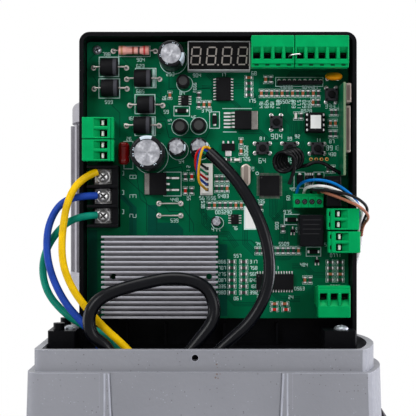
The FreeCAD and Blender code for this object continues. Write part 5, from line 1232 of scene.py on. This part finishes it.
def plate_ring(skin, finish, u, v):
    """The switch's top plate: a square sheet with a round hole, from the hole r out to the square's edge."""
    t = np.arange(48) * 2 * math.pi / 48
    out = np.stack([np.cos(t), np.sin(t)], 1)
    square = 2.85 * out / np.abs(out).max(1)[:, None]
    hole = (BUTTON_R + 0.1) * out
    rings = [np.column_stack([r + (u, v), np.full(48, h)])
             for r, h in ((square * 1.02, SWITCH_H - 0.3), (square, SWITCH_H), (hole, SWITCH_H), (hole, 1.4))]
    skin.add(np.concatenate(rings), quads(4, 48, close_columns=True)[:, ::-1], finish, False)


# Radio board, cans, relays and the white connector

RADIO_U, RADIO_V, RADIO_TOP = (122.6, 123.8), (69.2, 112.9), 20.0
# Screened cans on the radio board: v0, v1, lower and upper end, outer face
SCREENED_CANS = [(103.5, 112.5, 8.0, 19.0, 126.4), (80.0, 102.0, 6.0, 18.0, 126.2)]
CRYSTAL_U, CRYSTAL_V = 77.4, 69.7


def radio_board(f):
    """A board that stands on edge: a pale laminate core between two green faces."""
    skin = Skin()
    (u0, u1), (v0, v1), top = RADIO_U, RADIO_V, RADIO_TOP
    block(skin, f["bare_edge"], (u0 + 0.06, v0, 0.0), (u1 - 0.06, v1, top), 0.08, 2)
    block(skin, f["board_green"], (u0, v0 + 0.2, 0.2), (u0 + 0.1, v1 - 0.2, top - 0.12), 0.03, 2)
    block(skin, f["board_green"], (u1 - 0.1, v0 + 0.2, 0.2), (u1, v1 - 0.2, top - 0.12), 0.03, 2)
    for i in range(5):
        v = 70.6 + 2.0 * i
        block(skin, f["tinned"], (u1 - 0.02, v - 0.6, 10.0), (u1 + 0.6, v + 0.6, 15.5), 0.25, 2)
    skin.build("radio_laminate", replaces="radio_board", slot="board_green")


def metal_cans(f):
    """The oval crystal can, and two screened cans on the radio board with a dark panel on each."""
    skin = Skin()
    for r, h0, h1 in ((2.4, 0.0, 0.5), (2.0, 0.4, 3.6)):
        stadium(skin, f["crystal"], CRYSTAL_U, CRYSTAL_V, 5.4, r, h0, h1)
    stadium(skin, f["can_wall"], CRYSTAL_U, CRYSTAL_V, 4.7, 1.2, 3.5, 3.64)
    for v0, v1, h0, h1, u1 in SCREENED_CANS:
        block(skin, f["can_wall"], (123.85, v0, h0), (u1, v1, h1), 0.3)
        block(skin, f["brown_dark"], (124.4, v0 + 0.9, h1 - 0.5), (u1 - 0.5, v1 - 0.9, h1 + 0.04), 0.15, 2)
    skin.build("screened_cans", replaces="metal_cans", slot="tinned")


def stadium(skin, finish, u, v, half, radius, h0, h1):
    """A can with straight sides and round ends: two half circles joined, with a rounded upper edge."""
    t = np.linspace(0, 2 * math.pi, 49)[:-1]
    middle = np.where(np.sin(t) >= 0, half - radius, radius - half)
    turn = min(0.5, (h1 - h0) / 2)
    rings = []
    for inset, h in ((0.0, h0), (0.0, h1 - turn), (0.3 * turn, h1 - 0.3 * turn), (turn, h1)):
        r = radius - inset
        rings.append(np.column_stack([u + r * np.cos(t), v + middle + r * np.sin(t), np.full(48, h)]))
    skin.add(np.concatenate(rings), quads(4, 48, close_columns=True)[:, ::-1], finish)
    skin.add(rings[-1], [np.arange(48)], finish, False)


# Relays: u0, u1, v0, v1
RELAYS, RELAY_H = [(115.4, 122.2, 54.2, 69.0), (102.5, 114.0, 35.4, 50.5)], 15.0


def relays(f):
    """Two relay cases, each with a dark line round its top and faint bars of print."""
    skin = Skin()
    face = RELAY_H + PRINT_LIFT
    for u0, u1, v0, v1 in RELAYS:
        block(skin, f["relay"], (u0, v0, 0.3), (u1, v1, RELAY_H), 0.5)
        frame_line(skin, f["hole"], u0 + 0.7, u1 - 0.7, v0 + 0.7, v1 - 0.7, 0.15, face)
        for i in range(4):
            v = v1 - 2.4 - 2.2 * i
            strip(skin, f["faint_print"], [(u0 + 1.4, v), (u1 - 1.4 - 0.7 * (i % 2), v)], 0.5, face)
    skin.build("relay_cases", replaces="relays", slot="relay")


# White connector: middle u and v, pitch, height
SIGNAL_U, SIGNAL_V, SIGNAL_PITCH, SIGNAL_H = 58.3, 67.6, 2.54, 8.0


def signal_header(f):
    """A white shrouded connector: base, plug with five wire slots, and a latch rib."""
    skin = Skin()
    half = 2 * SIGNAL_PITCH + 2.6
    white = f["header_white"]
    for u0, u1, reach, h0, h1, edge in ((-3.0, 3.0, half, 0, 4.0, 0.3),
                                        (-2.4, 2.6, half - 0.8, 3.8, SIGNAL_H, 0.3),
                                        (-3.0, -2.4, half, 3.8, 6.8, 0.2)):
        block(skin, white, (SIGNAL_U + u0, SIGNAL_V - reach, h0), (SIGNAL_U + u1, SIGNAL_V + reach, h1), edge)
    for i in range(5):
        v = SIGNAL_V + (i - 2) * SIGNAL_PITCH
        # Dark patches on top are painted shade in the five wire slots
        patch(skin, f["hole"], SIGNAL_U - 0.6, SIGNAL_U + 1.0, v - 0.75, v + 0.75, SIGNAL_H + PRINT_LIFT)
    skin.build("connector_case", replaces="signal_header", slot="header_white")


# Thin leads, the antenna and the sensor's sheath

SHEATH = [(74.2, -46.5, 190.5), (74.6, -40.0, 184.0), (73.6, -33.5, 177.0), (70.5, -31.0, 168.0),
          (67.5, -29.0, 156.0), (65.5, -27.0, 145.0), (64.4, -25.4, 135.0), (64.0, -25.0, 122.0)]
# Each signal lead: finish, place round the cable's end, its reach to the left and height above the board
# where it turns down, and the same halfway down
LEAD_ROUTES = [("wire_black", 90, -9.0, 16.0, -5.5, 11.7), ("wire_leaf", 162, -5.4, 18.5, -5.8, 14.5),
               ("wire_red", 18, -6.3, 22.1, -5.6, 17.8), ("wire_navy", 234, -4.5, 23.6, -5.1, 20.3),
               ("wire_amber", 306, -3.9, 28.3, -4.6, 22.1)]
# Each sensor lead: finish, place round the sheath's top, then its route as board u, v, h
SENSOR_ROUTES = [
    ("wire_sky", 225, [(103.6, 66.0, 10.4), (109.8, 67.4, 16.4), (118.0, 66.0, 17.0), (125.6, 61.2, 16.6),
                       (131.4, 55.0, 13.0)]),
    ("wire_white", 135, [(106.8, 63.8, 11.0), (112.6, 64.4, 17.6), (119.8, 62.4, 18.8), (126.8, 58.0, 18.4),
                         (132.8, 52.4, 14.0)]),
    ("wire_black", 315, [(109.6, 62.0, 12.0), (114.4, 62.2, 19.8), (121.6, 61.0, 22.6), (129.2, 58.4, 22.0),
                         (135.4, 53.4, 16.4)]),
    ("wire_brown", 45, [(112.8, 61.6, 13.0), (116.8, 60.0, 20.4), (124.0, 57.2, 22.0), (130.6, 54.2, 21.6),
                        (136.0, 49.4, 15.0)])]


def place(u, v, h):
    """A point of the board, given as u, v, h, in the axes of the frame."""
    return np.array((BOARD_X0 + u, BOARD_FACE - h, BOARD_Z0 + v))


def ring_place(centre, axis, radius, angle):
    """A point beside an axis, at an angle from the X direction."""
    across = np.array((1.0, 0, 0)) - axis * axis[0]
    across /= np.linalg.norm(across)
    a = math.radians(angle)
    return centre + radius * (across * math.cos(a) + np.cross(axis, across) * math.sin(a))


def signal_leads(f):
    """Five thin leads that leave the cable's end, bow to the left and go down into the white connector."""
    end, inner = np.array(SIGNAL_CABLE[0]), np.array(SIGNAL_CABLE[1])
    axis = (end - inner) / np.linalg.norm(end - inner)
    for i, (finish, angle, bow, turn_h, reach, down_h) in enumerate(LEAD_ROUTES):
        start = ring_place(end, axis, 1.7, angle)
        slot = place(SIGNAL_U + 0.2, SIGNAL_V + (2 - i) * SIGNAL_PITCH, SIGNAL_H)
        points = [start, start + axis * 3.0, (end[0] + bow, BOARD_FACE - turn_h, end[2] + 0.6),
                  (slot[0] + reach, BOARD_FACE - down_h, slot[2] + 4.0),
                  (slot[0] - 0.9, BOARD_FACE - 12.4, slot[2] + 0.3), slot + (0, 1.0, 0)]
        skin = Skin(on_board=False)
        tube(skin, f[finish], spline(points, 10), LEAD_D / 2)
        skin.build("signal_lead_%d" % (i + 1), replaces="signal_leads", slot="leads")


def sensor_leads(f):
    """Four thin leads from the small terminal round the edge of the board into their sheath."""
    top, below = np.array(SHEATH[0]), np.array(SHEATH[1])
    axis = (below - top) / np.linalg.norm(below - top)
    for i, (finish, angle, route) in enumerate(SENSOR_ROUTES):
        start = place(small_way(i), 59.4, 3.6)
        end = ring_place(top, axis, 1.1, angle)
        points = [start, start + (0, -1.6, 3.4)] + [place(*p) for p in route] + [end - axis * 7, end]
        cord("sensor_lead_%d" % (i + 1), points, SENSOR_D, f[finish], "sensor_leads")
    cord("sensor_sheath", SHEATH, SHEATH_D, f["wire_white"], "sensor_leads")


# The antenna's coil, and its wire before and behind the coil, as board u, v, h
COIL_TURNS, COIL_START, COIL_R = 4.67, 60.0, 4.8
COIL_ENDS = [(93.8, 75.1, 20.0), (101.3, 77.7, 8.0)]
ANTENNA_TAIL = [(97.3, 65.0, 17.8), (98.9, 69.2, 19.4), (99.9, 74.4, 20.6), (99.2, 78.4, 21.4)]
ANTENNA_LEAD = [(106.0, 73.8, 10.0), (110.2, 76.0, 10.2), (114.6, 75.2, 10.0), (118.6, 72.4, 9.6),
                (122.6, 70.4, 9.4)]


def antenna(f):
    """A stiff wire: a free tail, a helix p = a + (b - a) t + r (cos, sin), and a lead to the radio board."""
    a, b = np.array(COIL_ENDS)
    t = np.linspace(0, 1, 150)[:, None]
    angle = np.radians(COIL_START + 360 * COIL_TURNS * t)
    flat_u, flat_v = np.array((1.0, 0.0, 0.6)), np.array((0.0, 1.0, 0.2))
    flat_u, flat_v = flat_u / np.linalg.norm(flat_u), flat_v / np.linalg.norm(flat_v)
    helix = a + (b - a) * t + COIL_R * (np.cos(angle) * flat_u + np.sin(angle) * flat_v)
    tail = spline(ANTENNA_TAIL + [helix[0]], 8)
    lead = spline([helix[-1]] + ANTENNA_LEAD, 8)
    skin = Skin()
    tube(skin, f["antenna"], np.concatenate([tail[:-1], helix, lead[1:]]), ANTENNA_D / 2, 12)
    skin.build("antenna_wire", replaces="antenna", slot="antenna")


# Ink, copper and pads on the board

# Printed outlines round the diodes (u0, u1, v0, v1), and which of them have a filled bar
DIODE_MARKS = [(5.9, 15.5, 117.8, 127.3), (5.8, 15.9, 107.3, 116.7), (23.6, 33.6, 112.4, 121.8),
               (23.4, 33.1, 99.7, 109.0), (23.4, 33.3, 89.0, 98.2)]
FILLED_MARKS = (2, 4)
# Other printed rings (u, v, radius), outlines (u0, u1, v0, v1) and single lines (u0, u1, v)
RING_MARKS = [(45.4, 93.2, 4.1), (54.5, 93.7, 4.1), (47.6, 114.3, 3.9), (83.0, 70.6, 0.7)]
PART_MARKS = [(15.4, 30.8, 127.6, 132.6), (42.4, 50.0, 98.6, 103.3), (59.8, 64.6, 92.6, 100.6),
              (96.2, 103.6, 45.6, 50.6), (106.9, 114.0, 30.2, 34.6), (101.0, 106.2, 63.4, 71.2),
              (110.6, 115.6, 63.4, 71.2), (92.0, 115.0, 113.0, 117.4), (37.4, 45.9, 59.6, 71.2),
              (18.0, 22.4, 72.8, 86.2)]
LINE_MARKS = [(66.0, 80.4, 102.2), (66.3, 73.0, 90.8)]
# The bare sticker on the board: u0, u1, v0, v1
STICKER = (77.1, 82.3, 43.7, 54.1)
# Small brackets beside the barrier block: middle v
BRACKET_V = (70.7, 61.3, 51.9)


def ink_outlines(ink, f):
    """Printed outlines of the larger parts."""
    white = f["ink"]
    for i, (u0, u1, v0, v1) in enumerate(DIODE_MARKS):
        frame_line(ink, white, u0, u1, v0, v1, 0.42, INK_H)
        if i in FILLED_MARKS:
            patch(ink, white, u1 - 1.7, u1 - 0.5, v0 + 0.4, v1 - 0.4, INK_H)
    for u, v, r, _, _ in CANS:
        ring_line(ink, white, u + 0.6, v - 0.8, r + 0.4, INK_WIDE, INK_H)
    for u, v, r in RING_MARKS:
        ring_line(ink, white, u, v, r, INK_WIDE, INK_H)
    for mark in PART_MARKS:
        frame_line(ink, white, *mark, INK_WIDE, INK_H)
    u0, u1, v0, v1 = STICKER
    frame_line(ink, white, u0 - 0.3, u1 + 0.3, v0 - 0.3, v1 + 0.3, 0.5, INK_H)
    patch(ink, f["paper"], u0, u1, v0, v1, INK_H + PRINT_LIFT)
    for u0, u1, v in LINE_MARKS:
        strip(ink, white, [(u0, v), (u1, v)], INK_WIDE, INK_H)
    for v in BRACKET_V:
        bracket = [(17.1, v - 1.0), (17.9, v - 1.0), (17.9, v + 1.0), (17.1, v + 1.0)]
        strip(ink, white, bracket, INK_WIDE, INK_H)


# Printed numerals: u, v, how many, height, quarter turns
LABELS = [(9.4, 128.7, 3, 1.7, 0), (10.6, 105.4, 3, 1.7, 0), (26.2, 126.0, 3, 1.7, 0),
          (26.0, 122.9, 3, 1.7, 0), (26.0, 110.6, 3, 1.7, 0), (21.6, 97.4, 3, 1.7, 0),
          (40.6, 119.0, 3, 1.7, 0), (53.6, 118.4, 3, 1.7, 0), (46.4, 109.8, 2, 1.7, 0),
          (66.4, 118.8, 2, 1.7, 0), (52.6, 112.4, 4, 1.5, 3), (37.6, 107.6, 2, 1.7, 3),
          (38.6, 100.6, 2, 1.7, 0), (40.4, 95.8, 2, 1.7, 3), (52.0, 97.9, 2, 1.7, 0),
          (58.4, 101.2, 4, 1.6, 0), (20.4, 87.4, 2, 1.7, 0), (42.6, 86.6, 2, 1.7, 0),
          (46.0, 76.4, 2, 1.7, 0), (42.6, 57.7, 3, 1.7, 0), (42.6, 47.6, 3, 1.7, 0),
          (22.4, 68.9, 1, 3.2, 1), (22.4, 59.4, 1, 3.2, 1), (22.4, 49.9, 1, 3.2, 1),
          (49.4, 73.2, 2, 1.6, 3), (49.6, 58.6, 2, 1.6, 3), (81.4, 119.4, 2, 1.8, 0),
          (96.6, 105.6, 6, 1.7, 0), (108.6, 112.6, 6, 1.6, 0), (97.2, 112.6, 5, 1.6, 0),
          (80.4, 106.0, 3, 1.7, 0), (85.0, 104.4, 3, 1.7, 3), (87.6, 104.4, 3, 1.7, 3),
          (90.2, 104.4, 3, 1.7, 3), (93.2, 104.4, 3, 1.7, 3), (100.8, 104.4, 3, 1.7, 3),
          (103.4, 104.4, 3, 1.7, 3), (106.0, 104.4, 3, 1.7, 3), (108.6, 104.4, 3, 1.7, 3),
          (107.0, 101.0, 4, 1.7, 0), (119.4, 103.4, 4, 2.2, 0), (92.4, 88.6, 3, 2.4, 0),
          (85.4, 76.8, 2, 2.4, 0), (98.8, 76.9, 2, 2.4, 0), (120.0, 83.0, 4, 2.2, 0),
          (119.6, 79.9, 3, 1.6, 0), (119.4, 86.2, 2, 1.7, 0), (112.6, 86.9, 2, 1.6, 0),
          (98.8, 87.5, 2, 1.6, 0), (85.4, 87.6, 2, 1.6, 0), (102.6, 88.6, 2, 1.6, 0),
          (77.6, 81.6, 4, 1.7, 3), (77.6, 77.6, 3, 1.7, 0), (80.6, 72.8, 2, 1.6, 3),
          (100.8, 62.9, 3, 1.6, 0), (98.2, 58.6, 2, 1.6, 3), (84.8, 57.0, 3, 1.6, 0),
          (97.8, 51.8, 3, 1.7, 0), (92.6, 45.0, 3, 1.6, 3), (102.6, 43.0, 2, 1.6, 3),
          (66.4, 59.5, 4, 1.7, 0), (58.8, 58.6, 6, 1.7, 0), (66.6, 51.6, 6, 1.7, 0),
          (56.6, 55.4, 3, 1.6, 3), (62.8, 43.2, 3, 1.8, 0), (72.2, 43.9, 2, 1.7, 0),
          (84.6, 36.2, 4, 1.6, 0), (96.0, 36.2, 4, 1.6, 0), (73.4, 30.4, 3, 1.6, 0), (73.4, 9.6, 3, 1.6, 0),
          (91.4, 24.6, 3, 1.7, 0), (84.6, 10.8, 3, 1.6, 0), (103.6, 14.4, 4, 1.6, 0),
          (121.0, 30.6, 4, 1.6, 0), (121.0, 15.4, 4, 1.6, 0), (99.4, 10.2, 2, 1.6, 0),
          (117.0, 35.8, 2, 1.7, 0), (105.8, 26.0, 3, 1.6, 0)]
LABELS += [(u, 27.5 - 3.0 * i, 3, 1.6, 0) for u in (65.9, 81.2) for i in range(6)]
NUMERAL_STROKE = 0.27


def ink_numerals(ink, f):
    """Rows of plain numerals beside the parts; which numerals they are has no meaning."""
    draw = np.random.default_rng(4)
    for u, v, count, tall, turn in LABELS:
        for i in range(count):
            step = (i - (count - 1) / 2) * tall * 0.82
            du, dv = ((step, 0), (0, step), (-step, 0), (0, -step))[turn]
            numeral = NUMERALS[draw.integers(10)]
            digit(ink, f["ink"], u + du, v + dv, tall * 0.5, tall * 0.96, NUMERAL_STROKE, INK_H, numeral,
                  lean=0.0, turn=turn)


def bundle(skin, finish, points, count, step, width):
    """Several parallel lines: the same route, moved sideways each time."""
    points = np.asarray(points, float)
    way = np.gradient(points, axis=0)
    way /= np.linalg.norm(way, axis=1)[:, None]
    side = np.stack([-way[:, 1], way[:, 0]], 1)
    for i in range(count):
        strip(skin, finish, points + side * step * i, width, TRACE_H)


# Etched lines beside the traces: route, how many side by side, spacing, width
TRACES = [([(66, 118.6), (70, 114.6), (70, 106), (76, 100)], 3, 0.7, 0.3),
          ([(58, 118.6), (61, 115.6), (61, 106)], 4, 0.7, 0.3),
          ([(80, 106), (84, 106), (90, 112), (90, 118)], 4, 0.8, 0.3),
          ([(84, 112.4), (96, 112.4), (100, 117.6), (118, 117.6)], 5, 0.7, 0.3),
          ([(71, 112), (76, 112), (80, 108), (80, 103)], 4, 0.8, 0.3),
          ([(94, 107), (94, 99), (99, 94), (99, 88)], 5, 0.9, 0.35),
          ([(74, 90), (84, 90), (88, 86), (94, 86)], 3, 0.9, 0.35),
          ([(80, 80), (80, 76), (84, 72), (84, 70)], 4, 0.7, 0.3),
          ([(95, 66), (99, 66), (102, 63), (116, 63)], 3, 0.7, 0.3),
          ([(89, 58), (89, 50), (94, 45), (94, 36)], 6, 0.75, 0.3),
          ([(96, 62), (96, 54), (90, 48)], 3, 0.75, 0.3),
          ([(84, 56), (76, 48), (76, 36), (82, 30)], 4, 0.8, 0.3),
          ([(56, 58), (56, 46), (62, 40), (68, 40), (72, 34)], 4, 0.8, 0.3),
          ([(52, 74), (55, 71), (55, 52), (60, 46)], 3, 0.8, 0.3),
          ([(56, 80), (60, 76), (60, 72), (66, 66)], 5, 0.7, 0.3),
          ([(72, 76), (76, 72), (76, 60), (82, 54)], 4, 0.7, 0.3),
          ([(82, 12), (90, 12), (94, 8), (104, 8)], 4, 0.8, 0.3),
          ([(100, 24), (106, 24), (110, 20), (118, 20)], 4, 0.8, 0.3),
          ([(102, 34), (98, 30), (90, 30)], 3, 0.8, 0.3),
          ([(68, 24), (68, 10), (72, 6), (84, 6)], 3, 0.8, 0.3),
          ([(104, 100), (104, 92), (100, 88)], 3, 0.8, 0.3),
          ([(116, 96), (118, 88), (118, 78)], 3, 0.8, 0.3),
          ([(104, 86), (106, 79), (108, 77)], 3, 0.7, 0.3),
          ([(56, 112), (60, 112), (62, 108)], 3, 0.7, 0.3)]
# Gaps between copper areas
GAPS = [[(1, 126), (4, 129), (17, 129)], [(3, 118), (12, 104), (16, 100), (16, 88)],
        [(16, 128), (22, 122), (22, 100)], [(34, 128), (37, 124), (40, 118), (40, 112), (60, 112)],
        [(33, 109), (40, 104), (42, 96)], [(20, 98), (22, 92), (36, 90)],
        [(34, 96), (38, 96), (40, 88), (58, 88), (60, 92)], [(17, 70), (27, 61), (29, 57), (29, 42)],
        [(17, 60), (22, 54), (22, 42)], [(17, 74), (24, 71), (26, 58), (34, 52), (34, 42)],
        [(28, 72), (36, 72), (46, 74), (50, 60), (50, 42)], [(46, 60), (47, 54), (52, 46), (52, 42)],
        [(36, 58), (40, 52), (46, 52)], [(52, 76), (56, 76), (58, 80), (58, 88)], [(30, 134), (33, 128)],
        [(36, 110), (36, 100), (40, 96)], [(64, 42), (64, 8)], [(66, 38), (80, 38), (84, 34)]]
# Areas without copper, each as its corners; the third, a strip along the board's left edge between the tray
# wall and the heat sink, is painted shadow in the same dark colour
BARE_AND_SHADED_AREAS = [
    [(29.5, 40.1), (47.0, 40.1), (47.0, 43.4), (43.7, 46.6), (34.4, 46.6), (34.4, 55.2), (29.5, 55.2)],
    [(20.6, 54.2), (20.6, 40.5), (24.2, 40.5), (24.2, 53.9), (16.4, 61.6), (16.4, 58.4)],
    [(0.4, 0.8), (5.0, 0.8), (5.0, 43.0), (0.4, 43.0)],
    [(64.6, 1.0), (68.4, 1.0), (68.4, 36.0), (64.6, 36.0)]]
# Small plated holes, scattered over the right side of the board: how many, and the corners of their area
VIA_COUNT, VIA_AREA = 90, ((56, 36), (120, 112))


def copper(f):
    """What shows through the mask: etched lines and gaps, areas without copper and one painted shadow, and
    small plated holes.
    """
    skin = Skin()
    for route, count, step, width in TRACES:
        bundle(skin, f["gap"], route, count, step, width)
    for route in GAPS:
        strip(skin, f["gap"], route, 0.34, TRACE_H)
    for corners in BARE_AND_SHADED_AREAS:
        skin.add([(u, v, TRACE_H * 0.6) for u, v in corners], [np.arange(len(corners))], f["bare"], False)
    draw = np.random.default_rng(7)
    for u, v in draw.uniform(*VIA_AREA, (VIA_COUNT, 2)):
        lathe(skin, f["trace"], (u, v, 0), [(0.4, 0.02), (0.36, 0.04), (0.14, 0.04)], 10)
        # A dark disc in each via is painted shade down its hole
        lathe(skin, f["hole"], (u, v, 0), [(0.15, 0.035), (0.001, 0.03)], 8)
    for i in range(4):
        pad(skin, f, 109.2 + 2.6 * i, 77.5, 0.85, 0.5, "gold")
    return skin


def board_details(f):
    """Every part on the board, then its print and copper."""
    ink = Skin()
    legs = chips(f)
    leads = diodes(f)
    resistor()
    electrolytics(f)
    inductors(f)
    small_chips(f, ink)
    terminal_plugs(f)
    screws(f)
    barrier(f)
    display(f)
    coated_capacitors(f)
    push_buttons(f)
    radio_board(f)
    metal_cans(f)
    relays(f)
    signal_header(f)
    signal_leads(f)
    sensor_leads(f)
    antenna(f)
    ink_outlines(ink, f)
    ink_numerals(ink, f)
    leads.build("part_leads", replaces="wire_leads", slot="tinned")
    legs.build("chip_legs", slot="tinned")
    ink.build("board_ink", slot="header_white")
    copper(f).build("board_copper", slot="board_green")


# Stage


def camera():
    """The camera, level and square on."""
    data = bpy.data.cameras.new("camera")
    data.lens, data.sensor_width = FOCAL_LENGTH, SENSOR
    data.clip_start, data.clip_end = 0.01, 20.0
    thing = bpy.data.objects.new("camera", data)
    thing.location = (0.0, -VIEW_DISTANCE * MM, VIEW_HEIGHT * MM)
    thing.rotation_euler = (math.pi / 2, 0.0, 0.0)
    bpy.context.scene.collection.objects.link(thing)
    bpy.context.scene.camera = thing


# Soft boxes in metres and watts: name, place, aim, size, power, colour
SOFTBOXES = [("key", (-0.6, -1.0, 0.8), (0.0, 0.0, 0.2), 0.6, 8.0, (1.0, 1.0, 1.0)),
             ("fill", (0.8, -0.9, 0.5), (0.0, 0.0, 0.2), 0.6, 5.0, (1.0, 1.0, 1.0)),
             ("top", (0.0, -0.25, 1.1), (0.0, 0.0, 0.2), 0.7, 6.0, (1.0, 1.0, 1.0)),
             ("right", (0.9, 0.15, 0.2), (0.0, 0.0, 0.1), 0.5, 9.0, (0.9, 0.91, 1.0)),
             ("left", (-0.9, 0.05, 0.2), (0.0, 0.0, 0.1), 0.5, 3.2, (0.94, 0.95, 1.0))]


def softbox(name, place, aim, size, power, colour):
    """A round area light that looks at a point."""
    data = bpy.data.lights.new(name, "AREA")
    data.shape, data.size, data.energy, data.color = "DISK", size, power, colour
    thing = bpy.data.objects.new(name, data)
    away = np.asarray(place, float) - np.asarray(aim, float)
    across = math.hypot(away[0], away[1])
    thing.location = place
    thing.rotation_euler = (math.atan2(across, away[2]), 0.0, math.atan2(away[0], -away[1]))
    bpy.context.scene.collection.objects.link(thing)


def studio():
    """White surroundings, soft boxes from the front, sides and above, and a pale floor under the object."""
    world = bpy.data.worlds.new("surroundings")
    bpy.context.scene.world = world
    world.use_nodes = True
    nodes, links = world.node_tree.nodes, world.node_tree.links
    seen = nodes["Background"]
    seen.inputs["Color"].default_value = (1.0, 1.0, 1.0, 1.0)
    glow = nodes.new("ShaderNodeBackground")
    glow.inputs["Color"].default_value = (0.93, 0.95, 1.0, 1.0)
    glow.inputs["Strength"].default_value = 0.13
    path, choice = nodes.new("ShaderNodeLightPath"), nodes.new("ShaderNodeMixShader")
    shown = path.outputs["Is Camera Ray"]
    for ray in ("Is Glossy Ray", "Is Transmission Ray"):
        either = nodes.new("ShaderNodeMath")
        either.operation = "MAXIMUM"
        links.new(shown, either.inputs[0])
        links.new(path.outputs[ray], either.inputs[1])
        shown = either.outputs["Value"]
    links.new(shown, choice.inputs["Fac"])
    links.new(glow.outputs["Background"], choice.inputs[1])
    links.new(seen.outputs["Background"], choice.inputs[2])
    links.new(choice.outputs["Shader"], nodes["World Output"].inputs["Surface"])
    for box in SOFTBOXES:
        softbox(*box)
    floor = Skin(on_board=False)
    floor.add([(-700, -500, 0), (700, -500, 0), (700, 400, 0), (-700, 400, 0)], [(0, 1, 2, 3)],
              plain("floor", srgb(232, 232, 234), 0.98, 0.7))
    thing = floor.build("floor")
    bpy.context.scene.view_settings.view_transform = "Standard"


def main():
    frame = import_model()
    finishes = frame_finishes()
    paint_frame(frame, finishes)
    front_panel(finishes)
    cords(finishes)
    board_finishes(finishes)
    board_details(finishes)
    studio()
    camera()


main()
